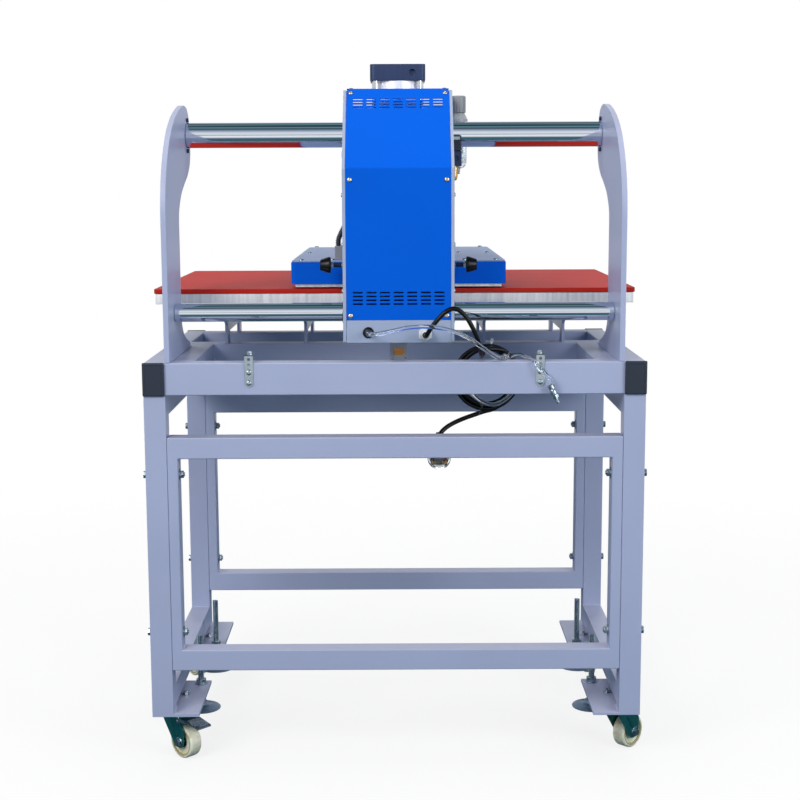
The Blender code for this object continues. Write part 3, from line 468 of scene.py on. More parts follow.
FRAME_COLOUR = (0.390, 0.435, 0.635)
FINISH = {
    "frame_paint": painted("stand powder coat", FRAME_COLOUR, 0.42, Coat_Weight=0.08),
    "blue_paint": painted("blue powder coat", (0.0, 0.112, 0.70), 0.60, dust=0.0, Specular_IOR_Level=0.06),
    "bracket_paint": painted("carriage powder coat", (0.35, 0.42, 0.60), 0.46, dust=0.15),
    "chrome": metal("hard chrome", (0.72, 0.76, 0.83), 0.06, (60, 9000, 9000), 0.03, 0.000002),
    "aluminium": metal("milled aluminium", (0.82, 0.83, 0.88), 0.55, (1400, 1400, 90), 0.30, 0.00012),
    "silicone": silicone_skin("red silicone", (0.52, 0.022, 0.014)),
    "zinc": plated("zinc plate", (0.27, 0.35, 0.43), (0.52, 0.57, 0.60), 0.24),
    # Painted reflection: the castors' teal is a teal reflection painted into the metal's own colour.
    "castor_zinc": plated("teal passivated zinc", (0.012, 0.17, 0.18), (0.05, 0.33, 0.33), 0.30, 0.85),
    "wheel_nylon": tyre_nylon("cream nylon", (0.94, 0.93, 0.76)),
    "black_anodised": metal("black anodised", (0.026, 0.045, 0.105), 0.48, (900, 900, 60), 0.2, 0.00001, 0.5),
    "black_plastic": moulded("black plastic", (0.020, 0.028, 0.048), 0.46, dust=0.03, Specular_IOR_Level=0.35),
    "grey_plastic": moulded("grey plastic", (0.25, 0.26, 0.285), 0.38, dust=0.05),
    "white_plastic": moulded("white nylon", (0.80, 0.82, 0.80), 0.38),
    "red_plastic": moulded("red plastic", (0.62, 0.008, 0.008), 0.28, Coat_Weight=0.3),
    "green_plastic": moulded("green plastic", (0.010, 0.36, 0.09), 0.28, Coat_Weight=0.3),
    "black_rubber": moulded("black rubber", (0.003, 0.003, 0.004), 0.28, grain=0.00002, dust=0.0, Specular_IOR_Level=0.22),
    "clear_plastic": clear_skin("clear plastic", (0.90, 0.93, 0.96), 0.10),
    "brass": metal("brass", (0.66, 0.42, 0.14), 0.26, (300, 300, 900), 0.12, 0.00002),
    "foot_pad_paint": metal("foot pad paint", (0.20, 0.28, 0.38), 0.36, (300, 300, 300), 0.1, 0.00001, 0.6),
    "pale_plastic": moulded("pale plastic", (0.46, 0.48, 0.51), 0.36, dust=0.05),
    # Painted shade: a darker, more saturated copy of the carriage powder coat for the head lid, against the extra light
    # on its upward face.
    "lid_paint_shaded": painted("head lid powder coat with painted shade", (0.25, 0.335, 0.555), 0.46, dust=0.06),
    "orange": moulded("orange lens", (1.0, 0.34, 0.02), 0.30, Coat_Weight=0.4),
    "dark_glass": moulded("display window", (0.010, 0.012, 0.016), 0.12, grain=0.000002, dust=0.05),
    "worn_edge": tyre_nylon("olive wheel edge", (0.36, 0.34, 0.16)),
    "bronze": plated("screw gilt", (0.72, 0.58, 0.34), (0.60, 0.60, 0.58), 0.24),
}


# ---------------------------------------------------------------- shapes


MOST_WEIGHED = 6000


def add(target, shape, matrix=None, finish=0):
    """Moves a shape into the target bmesh and gives its faces a material index."""
    mesh = bpy.data.meshes.new("loose")
    for face in shape.faces:
        face.material_index = finish or face.material_index
    shape.to_mesh(mesh)
    shape.free()
    if matrix:
        mesh.transform(matrix)
    target.from_mesh(mesh)
    bpy.data.meshes.remove(mesh)


def copied(shape, matrix, finish=0):
    """A moved copy of a shape, which itself stays."""
    twin = shape.copy()
    bmesh.ops.transform(twin, matrix=matrix, verts=twin.verts)
    for face in twin.faces:
        face.material_index = finish
    return twin


def aimed(place, direction):
    """Takes +Z to the direction, at the place."""
    turn = Vector((0, 0, 1)).rotation_difference(Vector(direction)).to_matrix().to_4x4()
    return Matrix.Translation(place) @ turn


def bevelled(shape, width, segments=2, angle=30, edges=None):
    if edges is None:
        edges = [
            edge for edge in shape.edges
            if len(edge.link_faces) == 2 and edge.calc_face_angle(0) > math.radians(angle)
        ]
    bmesh.ops.bevel(
        shape, geom=edges, offset=width, offset_type="OFFSET", segments=segments, profile=0.5,
        affect="EDGES", clamp_overlap=True, material=-1,
    )
    return shape


def box(x, y, z, width=0.0, segments=2):
    """A box between (low, high) pairs, with softened edges."""
    shape = bmesh.new()
    bmesh.ops.create_cube(shape, size=1.0)
    bmesh.ops.scale(shape, vec=(x[1] - x[0], y[1] - y[0], z[1] - z[0]), verts=shape.verts)
    bmesh.ops.translate(shape, vec=(sum(x) / 2, sum(y) / 2, sum(z) / 2), verts=shape.verts)
    return bevelled(shape, width, segments) if width else shape


def prism(outline, through, width=0.0, segments=2):
    """Pushes a closed outline of points through a vector and softens its edges."""
    shape = bmesh.new()
    face = shape.faces.new([shape.verts.new(point) for point in outline])
    grown = bmesh.ops.extrude_face_region(shape, geom=[face])["geom"]
    risen = [item for item in grown if isinstance(item, bmesh.types.BMVert)]
    bmesh.ops.translate(shape, vec=through, verts=risen)
    bmesh.ops.recalc_face_normals(shape, faces=shape.faces)
    return bevelled(shape, width, segments) if width else shape


def turned(profile, segments=48, matrix=None):
    """Spins (radius, along) points about Z; ends that aren't on the axis are closed into a ring."""
    shape = bmesh.new()
    verts = [shape.verts.new((radius, 0, along)) for radius, along in profile]
    edges = [shape.edges.new(pair) for pair in zip(verts, verts[1:])]
    if min(radius for radius, _ in profile) > 0:
        edges.append(shape.edges.new((verts[-1], verts[0])))
    bmesh.ops.spin(
        shape, geom=verts + edges, axis=(0, 0, 1), angle=math.tau, steps=segments, use_merge=True
    )
    bmesh.ops.remove_doubles(shape, verts=shape.verts, dist=1e-6)
    bmesh.ops.recalc_face_normals(shape, faces=shape.faces)
    if matrix:
        bmesh.ops.transform(shape, matrix=matrix, verts=shape.verts)
    return shape


def rounded(outline, radius, steps=5):
    """Rounds every corner of a closed flat outline with an arc; a corner with a third value uses that radius."""
    made = []
    count = len(outline)
    for index, corner in enumerate(outline):
        size = corner[2] if len(corner) > 2 else radius
        here = Vector(corner[:2])
        before = (Vector(outline[index - 1][:2]) - here).normalized()
        after = (Vector(outline[(index + 1) % count][:2]) - here).normalized()
        half = before.angle(after) / 2
        if size <= 0 or half > math.radians(88):
            made.append(tuple(here))
            continue
        reach = size / math.tan(half)
        centre = here + (before + after).normalized() * (size / math.sin(half))
        first, last = here + before * reach - centre, here + after * reach - centre
        turn = first.angle_signed(last)
        for step in range(steps + 1):
            angle = -turn * step / steps
            cosine, sine = math.cos(angle), math.sin(angle)
            made.append((centre.x + first.x * cosine - first.y * sine,
                         centre.y + first.x * sine + first.y * cosine))
    return made


def smooth(points, steps):
    """Points along a Catmull-Rom curve through the given ones."""
    found = []
    for index in range(len(points) - 1):
        around = [points[min(max(index + offset, 0), len(points) - 1)] for offset in (-1, 0, 1, 2)]
        before, start, stop, after = (Vector(point) for point in around)
        for step in range(steps):
            t = step / steps
            bend = 2 * before - 5 * start + 4 * stop - after
            twist = 3 * start - before - 3 * stop + after
            found.append(0.5 * (2 * start + (stop - before) * t + bend * t**2 + twist * t**3))
    return found + [Vector(points[-1])]


def evenly(points, spacing):
    """The same line with points about one spacing apart."""
    lengths = [(b - a).length for a, b in zip(points, points[1:])]
    count = max(2, round(sum(lengths) / spacing))
    made, index, walked = [], 0, 0.0
    for step in range(count):
        target = sum(lengths) * step / count
        while walked + lengths[index] < target:
            walked += lengths[index]
            index += 1
        made.append(points[index].lerp(points[index + 1], (target - walked) / lengths[index]))
    return made + [points[-1]]


def strand(points, radius, sides=3):
    """A round tube of mesh along the points; sides is the curve's bevel resolution."""
    curve = bpy.data.curves.new("strand", "CURVE")
    curve.dimensions = "3D"
    curve.bevel_depth, curve.bevel_resolution, curve.use_fill_caps = radius, sides, True
    spline = curve.splines.new("POLY")
    spline.points.add(len(points) - 1)
    for place, point in zip(spline.points, points):
        place.co = (*point, 1.0)
    holder = bpy.data.objects.new("strand", curve)
    bpy.context.scene.collection.objects.link(holder)
    bpy.context.view_layer.update()
    mesh = bpy.data.meshes.new_from_object(holder.evaluated_get(bpy.context.evaluated_depsgraph_get()))
    bpy.data.objects.remove(holder)
    shape = bmesh.new()
    shape.from_mesh(mesh)
    bpy.data.meshes.remove(mesh)
    bmesh.ops.remove_doubles(shape, verts=shape.verts, dist=1e-6)
    bmesh.ops.recalc_face_normals(shape, faces=shape.faces)
    return shape


def cut_out(shape, cutter):
    """Takes the cutter out of the shape and gives back the new bmesh."""
    holders = []
    for name, mesh_shape in (("blank", shape), ("cutter", cutter)):
        mesh = bpy.data.meshes.new(name)
        mesh_shape.to_mesh(mesh)
        mesh_shape.free()
        holder = bpy.data.objects.new(name, mesh)
        bpy.context.scene.collection.objects.link(holder)
        holders.append(holder)
    modifier = holders[0].modifiers.new("cut", "BOOLEAN")
    modifier.operation, modifier.solver, modifier.object = "DIFFERENCE", "EXACT", holders[1]
    bpy.context.view_layer.update()
    graph = bpy.context.evaluated_depsgraph_get()
    mesh = bpy.data.meshes.new_from_object(holders[0].evaluated_get(graph))
    made = bmesh.new()
    made.from_mesh(mesh)
    for holder in holders:
        bpy.data.objects.remove(holder)
    return made


def keep_flat(mesh, sharp):
    """Weighs each corner's normal by area, so that flat faces stay flat beside their softened edges."""
    limit = math.cos(math.radians(sharp))
    around = [[] for _ in mesh.vertices]
    for face in mesh.polygons:
        for vert in face.vertices:
            around[vert].append((face.normal.copy(), face.area))
    normals = []
    for face in mesh.polygons:
        for vert in face.vertices:
            total = Vector((0, 0, 0))
            for normal, area in around[vert]:
                if face.normal.dot(normal) > limit:
                    total += normal * area
            normals.append(total.normalized() if total.length > 0 else face.normal.copy())
    mesh.normals_split_custom_set(normals)


def piece(name, shape, body, slot, *finishes, replaces=(), sharp=35):
    """Makes the piece, gives it its finishes and lets it ride on its body (None leaves it loose)."""
    mesh = bpy.data.meshes.new(name)
    shape.to_mesh(mesh)
    shape.free()
    mesh.shade_smooth()
    mesh.set_sharp_from_angle(angle=math.radians(sharp))
    if body and len(mesh.polygons) < MOST_WEIGHED:
        keep_flat(mesh, sharp)
    made = bpy.data.objects.new(name, mesh)
    bpy.context.scene.collection.objects.link(made)
    for finish in finishes or (slot,):
        mesh.materials.append(FINISH[finish])
    if body:
        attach(made, body)
    if replaces:
        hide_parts(*replaces)
    return made


def cad_copy(node):
    """A merged copy of a CAD node's mesh, with its flat faces joined up again."""
    shape = bmesh.new()
    shape.from_mesh(nodes[node].data)
    bmesh.ops.remove_doubles(shape, verts=shape.verts, dist=1e-5)
    bmesh.ops.dissolve_limit(
        shape, angle_limit=math.radians(0.6), verts=shape.verts, edges=shape.edges
    )
    return shape


def softened(node, name, body, slot, width, segments=2, angle=30):
    """Stands for a CAD node with its edges softened."""
    return piece(name, bevelled(cad_copy(node), width, segments, angle), body, slot, replaces=(node,))


# ---------------------------------------------------------------- fasteners


def hex_prism(across, low, high, chamfer=0.0):
    """A hexagon bar up Z with its upper corners turned off."""
    radius = across / math.sqrt(3)
    shape = bmesh.new()
    bmesh.ops.create_cone(
        shape, cap_ends=True, segments=6, radius1=radius, radius2=radius, depth=high - low
    )
    bmesh.ops.translate(shape, vec=(0, 0, (low + high) / 2), verts=shape.verts)
    return bevelled(shape, chamfer or across * 0.035, 2)


def threaded(radius, low, high, pitch, segments=20):
    """A rod up Z with a real helical thread."""
    depth = pitch * 0.55
    shape = bmesh.new()
    count = max(2, int((high - low) / pitch) - 1)
    column = []
    for index in range(count):
        for offset, inward in ((0.0, depth), (0.38, 0.0), (0.55, 0.0)):
            column.append(shape.verts.new((radius - inward, 0, low + (index + offset) * pitch)))
    edges = [shape.edges.new(pair) for pair in zip(column, column[1:])]
    bmesh.ops.spin(
        shape, geom=column + edges, axis=(0, 0, 1), angle=math.tau, steps=segments,
        dvec=(0, 0, pitch / segments), use_merge=False,
    )
    bmesh.ops.remove_doubles(shape, verts=shape.verts, dist=1e-6)
    bmesh.ops.holes_fill(shape, edges=[e for e in shape.edges if e.is_boundary], sides=0)
    bmesh.ops.recalc_face_normals(shape, faces=shape.faces)
    return shape


def dome_screw(radius, height):
    """Button head with a hexagon socket, standing on Z = 0."""
    rim, socket = radius, radius * 0.42
    profile = [(0, -0.0006), (rim, -0.0006), (rim, height * 0.18)]
    for step in range(1, 5):
        angle = math.radians(90 * step / 5)
        profile.append((socket + (rim - socket) * math.cos(angle), height * (0.18 + 0.82 * math.sin(angle))))
    profile += [(socket, height), (socket * 0.94, height * 0.92), (socket * 0.94, height * 0.35), (0, height * 0.35)]
    return turned(profile, 24)


def hex_bolt(across, head, washer=True):
    """Hexagon head on a washer, standing on Z = 0."""
    shape = hex_prism(across, 0.0016 if washer else -0.0004, head)
    if washer:
        outer = across * 0.86
        add(shape, turned([(0, -0.0004), (outer, -0.0004), (outer, 0.0012), (outer - 0.0004, 0.0016), (0, 0.0016)], 28))
    return shape


def socket_bolt(radius, head):
    """Cylinder head with a hexagon socket, standing on Z = 0."""
    socket = radius * 0.5
    shape = turned(
        [(0, -0.0004), (radius, -0.0004), (radius, head - 0.0006), (radius - 0.0006, head), (socket, head),
         (socket, head * 0.45), (0, head * 0.45)], 24,
    )
    return shape


def nut_on_stud(across, thick, stud, proud):
    """A nut with the stud's end standing out of it."""
    shape = hex_bolt(across, thick + 0.0016)
    add(shape, threaded(stud, 0.001, thick + 0.0016 + proud, 0.00125, 14))
    return shape


def set_many(name, places, maker, body, slot, *finishes):
    """One piece made of the same fastener at several (place, direction) pairs."""
    pattern = maker()
    gathered = bmesh.new()
    for place, direction in places:
        add(gathered, copied(pattern, aimed(place, direction)))
    pattern.free()
    return piece(name, gathered, body, slot, *finishes)


# ---------------------------------------------------------------- cords


CABLE_RADIUS, HOSE_RADIUS = 0.00425, 0.004
MAINS_ROUTE = [
    (0.0570, -0.0060, 0.8260), (0.0570, -0.0150, 0.8260), (0.0590, -0.0240, 0.8290),
    (0.0640, -0.0295, 0.8380), (0.0740, -0.0320, 0.8520), (0.0910, -0.0330, 0.8700),
    (0.1090, -0.0320, 0.8770), (0.1270, -0.0310, 0.8650), (0.1420, -0.0280, 0.8410),
    (0.1525, -0.0200, 0.8160), (0.1575, -0.0040, 0.7970), (0.1600, 0.0140, 0.7860),
    (0.1620, 0.0320, 0.7835), (0.1660, 0.0500, 0.7880), (0.1760, 0.0640, 0.7925),
]
COIL_CENTRE = (0.1735, 0.7385)
COIL_DEPTHS = (0.0725, 0.0900)
COIL_RADII = (0.0515, 0.0610)
COIL_TURNS = 5
TAIL_ROUTE = [
    (0.1880, 0.0850, 0.6765), (0.1700, 0.0855, 0.6715), (0.1520, 0.0850, 0.6655),
    (0.1330, 0.0840, 0.6590), (0.1150, 0.0800, 0.6520), (0.0990, 0.0740, 0.6440),
    (0.0880, 0.0680, 0.6350), (0.0832, 0.0625, 0.6270), (0.0830, 0.0620, 0.6206),
]
HOSE_ROUTE = [
    (-0.0480, -0.0060, 0.8290), (-0.0480, -0.0150, 0.8290), (-0.0460, -0.0230, 0.8294),
    (-0.0380, -0.0300, 0.8308), (-0.0220, -0.0350, 0.8335), (0.0000, -0.0400, 0.8385),
    (0.0250, -0.0430, 0.8440), (0.0550, -0.0460, 0.8460), (0.0850, -0.0480, 0.8430),
    (0.1130, -0.0460, 0.8350), (0.1380, -0.0400, 0.8220), (0.1600, -0.0300, 0.8050),
    (0.1780, -0.0130, 0.7915), (0.1910, 0.0080, 0.7826), (0.2000, 0.0270, 0.7825),
    (0.2090, 0.0460, 0.7800), (0.2200, 0.0510, 0.7570), (0.2260, 0.0475, 0.7340),
    (0.2150, 0.0475, 0.7070), (0.1860, 0.0480, 0.6900), (0.1540, 0.0490, 0.7010),
    (0.1380, 0.0510, 0.7290), (0.1460, 0.0540, 0.7560), (0.1720, 0.0580, 0.7700),
    (0.2040, 0.0600, 0.7760), (0.2290, 0.0470, 0.7840), (0.2390, 0.0290, 0.7825),
    (0.2470, 0.0100, 0.7822), (0.2550, -0.0050, 0.7795), (0.2650, -0.0130, 0.7660),
    (0.2770, -0.0145, 0.7530), (0.2870, -0.0130, 0.7440), (0.2895, -0.0125, 0.7330),
    (0.2895, -0.0125, 0.7250),
]


def coil_turns():
    """The wound turns of the mains lead: each one a little off the last, inner and outer by turns."""
    x, z = COIL_CENTRE
    start, stop = math.radians(72), math.radians(-66) - math.tau * (COIL_TURNS - 1)
    steps = 24 * COIL_TURNS
    points = []
    for step in range(1, steps):
        share = step / steps
        angle = start + (stop - start) * share
        wander = 0.5 + 0.5 * math.cos(math.pi * (share * COIL_TURNS + 0.25))
        radius = COIL_RADII[0] + (COIL_RADII[1] - COIL_RADII[0]) * wander
        if share > 0.93:
            radius += (0.0625 - radius) * (share - 0.93) / 0.07
        depth = COIL_DEPTHS[0] + (COIL_DEPTHS[1] - COIL_DEPTHS[0]) * share
        points.append((x + radius * math.cos(angle), depth, z + radius * math.sin(angle)))
    return points


def placed_route(route, steps):
    return smooth([(x, y_of(depth), z) for x, depth, z in route], steps)


def cord_piece(name, points, radius, slot, replaces):
    made = piece(name, strand(points, radius), None, slot, replaces=replaces, sharp=60)
    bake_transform(made)
    return made


def make_mains_lead():
    points = evenly(placed_route(MAINS_ROUTE + coil_turns() + TAIL_ROUTE, 6), 0.0045)
    lead = cord_piece(
        "mains_lead", points, CABLE_RADIUS, "black_rubber",
        ("mains_cable", "mains_coil", "mains_tail"),
    )


def make_air_line():
    points = evenly(placed_route(HOSE_ROUTE, 8), 0.004)
    hose = cord_piece("air_line", points, HOSE_RADIUS, "clear_plastic", ("air_hose",))


# ---------------------------------------------------------------- stand


LEG_FOOT, PLATE_UNDERSIDE = 0.106, 0.100
BOLT_LEVELS = (0.262, 0.565)
REAR, FRONT = "rear", "front"


def depth_at(end, depth):
    """A depth measured from the near end of the stand, mirrored for the operator's end."""
    return depth if end == REAR else FRAME_DEPTH - depth


def weld_bead(start, stop, radius=0.0022):
    """A painted fillet weld: a low rope of overlapping ripples."""
    start, stop = Vector(start), Vector(stop)
    length = (stop - start).length
    count = max(8, int(length / 0.0016))
    profile = [(0, -0.001)]
    for index in range(count + 1):
        ripple = radius * (1 + 0.10 * math.sin(index * 2.1) + 0.08 * noise.noise((index * 0.37, start.x * 9, start.z * 9)))
        profile.append((ripple, length * index / count))
    profile.append((0, length + 0.001))
    return turned(profile, 10, aimed(start, stop - start))


def stand_welds():
    """Beads where the rails and beams meet the legs, on the faces that show."""
    beads = bmesh.new()
    inner = HALF_WIDTH - TUBE
    for _, side in SIDES:
        for end in (REAR, FRONT):
            face = depth_at(end, TUBE)
            for level in (0.113, 0.153, 0.6757):
                y = y_of(face)
                add(beads, weld_bead((side * (inner + 0.004), y, level), (side * (HALF_WIDTH - 0.004), y, level)))
            for level in (LEG_FOOT,):
                near = y_of(depth_at(end, 0.004))
                add(beads, weld_bead((side * inner, near, level), (side * inner, y_of(depth_at(end, TUBE)), level)))
                add(beads, weld_bead((side * inner, y_of(face), level), (side * (HALF_WIDTH - 0.003), y_of(face), level)))
    piece("leg_welds", beads, "frame", "frame_paint", sharp=80)
    beads = bmesh.new()
    for _, side in SIDES:
        x = side * 0.4228
        for depth in (TUBE, 0.335, 0.375, FRAME_DEPTH - TUBE):
            add(beads, weld_bead((x, y_of(depth), BEAM_BOTTOM + 0.003), (x, y_of(depth), FRAME_TOP - 0.003), 0.0018))
    piece("beam_welds", beads, "frame", "frame_paint", sharp=80)


def end_plug(side, end):
    """Moulded cap in the open end of a side beam: rounded flange, shallow dished face and a rim."""
    x = (HALF_WIDTH - 0.0396, HALF_WIDTH + 0.0008) if side > 0 else (-HALF_WIDTH - 0.0008, -HALF_WIDTH + 0.0396)
    sign = -1 if end == REAR else 1
    face = y_of(depth_at(end, 0))
    reach = tuple(sorted((face + sign * 0.0004, face + sign * 0.0056)))
    levels = (BEAM_BOTTOM - 0.0008, FRAME_TOP + 0.0012)
    shape = box(x, reach, levels)
    outer = [f for f in shape.faces if f.normal.y * sign > 0.9]
    bevelled(shape, 0.0022, 3)
    outer = [f for f in shape.faces if f.normal.y * sign > 0.99 and f.calc_area() > 1e-4]
    bmesh.ops.inset_region(shape, faces=outer, thickness=0.0032, depth=0)
    bmesh.ops.inset_region(shape, faces=outer, thickness=0.0010, depth=-0.0008)
    return shape


def end_sleeve(side, end):
    """Reach and depths of a collar round the last stretch of the beam."""
    inner, outer = HALF_WIDTH - 0.0394, HALF_WIDTH + 0.0006
    start, stop = depth_at(end, 0.0002), depth_at(end, 0.0)
    return inner, outer, start, stop


def make_end_plugs():
    plugs = bmesh.new()
    for _, side in SIDES:
        for end in (REAR, FRONT):
            add(plugs, end_plug(side, end))
    piece("beam_end_plugs", plugs, "frame", "black_plastic")


def leg_bolt_places():
    """Through bolts that hold each brace's post to its leg: heads outside, nuts on the inner side."""
    heads, nuts = [], []
    for _, side in SIDES:
        for end in (REAR, FRONT):
            y = y_of(depth_at(end, TUBE / 2))
            for level in BOLT_LEVELS:
                heads.append(((side * HALF_WIDTH, y, level), (side, 0, 0)))
                nuts.append(((side * (HALF_WIDTH - TUBE - 0.0003 - 0.020), y, level), (-side, 0, 0)))
    return heads, nuts


def frame_fasteners():
    heads, nuts = leg_bolt_places()
    set_many("leg_bolt_heads", heads, lambda: hex_bolt(0.013, 0.0068), "frame", "zinc")
    set_many("leg_bolt_nuts", nuts, lambda: nut_on_stud(0.013, 0.0062, 0.004, 0.0035), "frame", "zinc")
    plate_bolts, shaft_bolts, clamp_screws = [], [], []
    upper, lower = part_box("upper_shaft"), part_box("lower_shaft")
    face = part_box("side_plate_right")[1].x
    for _, side in SIDES:
        for low, high in (upper, lower):
            place = Vector((side * face, (low.y + high.y) / 2, (low.z + high.z) / 2))
            shaft_bolts.append((place, (side, 0, 0)))
        for depth, level in ((0.022, 0.752), (0.262, 0.752)):
            plate_bolts.append(((side * (face - 0.0105), y_of(depth), level), (-side, 0, 0)))
        for level in (1.226, 1.166):
            clamp_screws.append(((side * (face - 0.0101), y_of(0.300), level), (-side, 0, 0)))
    set_many("shaft_end_bolts", shaft_bolts, lambda: hex_bolt(0.019, 0.0096), "frame", "zinc")
    set_many("shaft_set_screws", clamp_screws, lambda: socket_bolt(0.0042, 0.0042), "frame", "black_anodised")


def plate_outline():
    """(depth, height) points round the side plate: a column that hooks over the upper shaft."""
    foot, rest, clear = BEAM_BOTTOM + 0.001, FRAME_TOP + 0.0003, 0.168
    sweep = smooth(
        [(0.0, 1.000, 0), (0.001, 1.062, 0), (0.016, 1.112, 0), (0.045, 1.156, 0), (0.090, 1.196, 0),
         (0.150, 1.226, 0), (0.220, 1.246, 0), (0.275, 1.2535, 0), (0.320, 1.245, 0), (0.346, 1.216, 0),
         (0.352, 1.178, 0), (0.340, 1.142, 0), (0.305, 1.118, 0), (0.255, 1.100, 0), (0.208, 1.080, 0),
         (0.177, 1.054, 0), (clear, 1.031, 0), (clear, 0.985, 0), (clear, 0.930, 0)],
        6,
    )
    flare = smooth(
        [(clear, 0.860, 0), (0.174, 0.834, 0), (0.197, 0.812, 0), (0.240, 0.796, 0), (0.275, 0.788, 0)], 6
    )
    ends = [(0.285, 0.784), (0.285, foot), (TUBE + 0.0003, foot), (TUBE + 0.0003, rest), (0.0, rest)]
    return [(point[0], point[1]) for point in sweep + flare] + ends


def make_side_plates():
    for label, _ in SIDES:
        low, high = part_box(f"side_plate_{label}")
        outline = [(low.x, y_of(depth), level) for depth, level in plate_outline()]
        shape = prism(outline, (high.x - low.x, 0, 0))
        bevelled(shape, 0.0009, 2, 50)
        piece(f"side_plate_{label}_ground", shape, "frame", "frame_paint", replaces=(f"side_plate_{label}",))


def make_shafts():
    """Ground and chromed bars with turned chamfers at both ends."""
    for node in ("upper_shaft", "lower_shaft"):
        low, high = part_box(node)
        radius, half = (high.z - low.z) / 2, (high.x - low.x) / 2
        profile = [(0, -half), (radius - 0.0015, -half), (radius, 0.0015 - half), (radius, half - 0.0015),
                   (radius - 0.0015, half), (0, half)]
        place = aimed(((low.x + high.x) / 2, (low.y + high.y) / 2, (low.z + high.z) / 2), (1, 0, 0))
        piece(f"{node}_ground", turned(profile, 96, place), "frame", "chrome", replaces=(node,))


def make_platens():
    """Milled lower platens, each with its silicone pad glued on top."""
    for label, _ in SIDES:
        node = f"lower_platen_{label}"
        softened(node, f"{node}_milled", "frame", "aluminium", 0.0012, 2)
        low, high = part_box(f"silicone_pad_{label}")
        shape = box((low.x, high.x), (low.y, high.y), (low.z, high.z))
        upright = [e for e in shape.edges if abs(e.verts[0].co.z - e.verts[1].co.z) > 0.005]
        bevelled(shape, 0.006, 5, edges=upright)
        for axis in range(2):
            for step in range(1, 24):
                place, normal = Vector((0, 0, 0)), Vector((0, 0, 0))
                place[axis] = low[axis] + (high[axis] - low[axis]) * step / 24
                normal[axis] = 1
                bmesh.ops.bisect_plane(
                    shape, geom=shape.verts[:] + shape.edges[:] + shape.faces[:], plane_co=place, plane_no=normal
                )
        rim = [e for e in shape.edges if len(e.link_faces) == 2 and e.calc_face_angle(0) > math.radians(60)
               and abs(e.verts[0].co.z - e.verts[1].co.z) < 0.001]
        bevelled(shape, 0.0010, 2, edges=rim)
        for vert in shape.verts:
            if vert.co.z > high.z - 0.0002:
                vert.co.z -= 0.0005 + 0.0005 * noise.noise(vert.co * 7)
        piece(f"silicone_pad_{label}_sheet", shape, "frame", "silicone", replaces=(f"silicone_pad_{label}",))
        screws = []
        for x in (-0.16, 0.16):
            for depth in (0.250, 0.670):
                screws.append((((low.x + high.x) / 2 + x * 0.4, y_of(depth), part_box(f"platen_support_{label}")[1].z - 0.006), (0, 0, -1)))
        set_many(f"platen_screws_{label}", screws, lambda: socket_bolt(0.0045, 0.0045), "frame", "zinc")


def stop_bracket(x):
    """Zinc angle screwed to the rear beam, with a row of holes; its upper leg runs inward over the beam."""
    half, thick, top, bottom = 0.008, 0.0016, FRAME_TOP + 0.0145, FRAME_TOP - 0.0445
    face = y_of(0) - 0.0003
    outline = rounded([(x - half, bottom, 0.0078), (x + half, bottom, 0.0078), (x + half, top, 0), (x - half, top, 0)], 0, 8)
    plate = prism([(px, face, pz) for px, pz in outline], (0, -thick, 0))
    holes = bmesh.new()
    for level in (top - 0.008, top - 0.0185, top - 0.029):
        add(holes, turned([(0, -0.004), (0.0026, -0.004), (0.0026, 0.004), (0, 0.004)], 20, aimed((x, face - thick / 2, level), (0, 1, 0))))
    plate = cut_out(plate, holes)
    bevelled(plate, 0.0003, 1, 50)
    leg = box((x - half, x + half), (face - thick, face + 0.030), (top - thick, top), 0.0003, 1)
    slot = turned([(0, -0.004), (0.0026, -0.004), (0.0026, 0.004), (0, 0.004)], 20, Matrix.Translation((x, face + 0.020, top)))
    add(plate, cut_out(leg, slot))
    return plate


def make_brackets():
    places, bolts = [], []
    for label, side in SIDES:
        x = side * 0.2675
        piece(f"stop_bracket_{label}", stop_bracket(x), "frame", "zinc")
        for level in (FRAME_TOP - 0.0175, FRAME_TOP - 0.0370):
            places.append(((x, y_of(0) - 0.0019, level), (0, -1, 0)))
        bolts.append(((x, y_of(0.0197), FRAME_TOP + 0.0145), (0, 0, 1)))
        bolts.append(((x, y_of(0.0197), FRAME_TOP + 0.0129), (0, 0, -1)))
    set_many("bracket_screws", places, lambda: dome_screw(0.0052, 0.0030), "frame", "zinc")
    set_many("bracket_stop_screws", bolts, lambda: hex_bolt(0.008, 0.0052), "frame", "zinc")


# ---------------------------------------------------------------- castors and feet


CASTOR_AXLE = 0.0325


def castor_frame(corner):
    """Matrix from castor space, which trails along +X about its swivel axis, to the stand."""
    pivot = Vector(joints[f"castor_swivel_{corner}"]["pos_m"])
    axle = Vector(joints[f"wheel_roll_{corner}"]["pos_m"])
    angle = math.atan2(axle.y - pivot.y, axle.x - pivot.x)
    return Matrix.Translation((pivot.x, pivot.y, 0)) @ Matrix.Rotation(angle, 4, "Z")


def castor_leg(sign):
    """One pressed fork leg with a pressed-in stiffening rib and a rounded foot round the axle."""
    outline = rounded(
        [(-0.022, 0.0845, 0.002), (0.0262, 0.0845, 0.003), (0.047, 0.060, 0.010), (0.045, 0.0215, 0.0118),
         (0.021, 0.0215, 0.0118), (-0.012, 0.0680, 0.006)], 0.004, 6,
    )
    inner, outer = 0.0151, 0.0175
    leg = prism([(t, sign * inner, z) for t, z in outline], (0, sign * (outer - inner), 0))
    bevelled(leg, 0.0006, 2, 50)
    rib = prism([(t, sign * outer, z) for t, z in rounded(
        [(0.001, 0.080), (0.008, 0.080), (0.0285, 0.043), (0.0245, 0.041)], 0.0025, 4)], (0, sign * 0.0012, 0))
    bevelled(rib, 0.0007, 2, 50)
    add(leg, rib)
    return leg


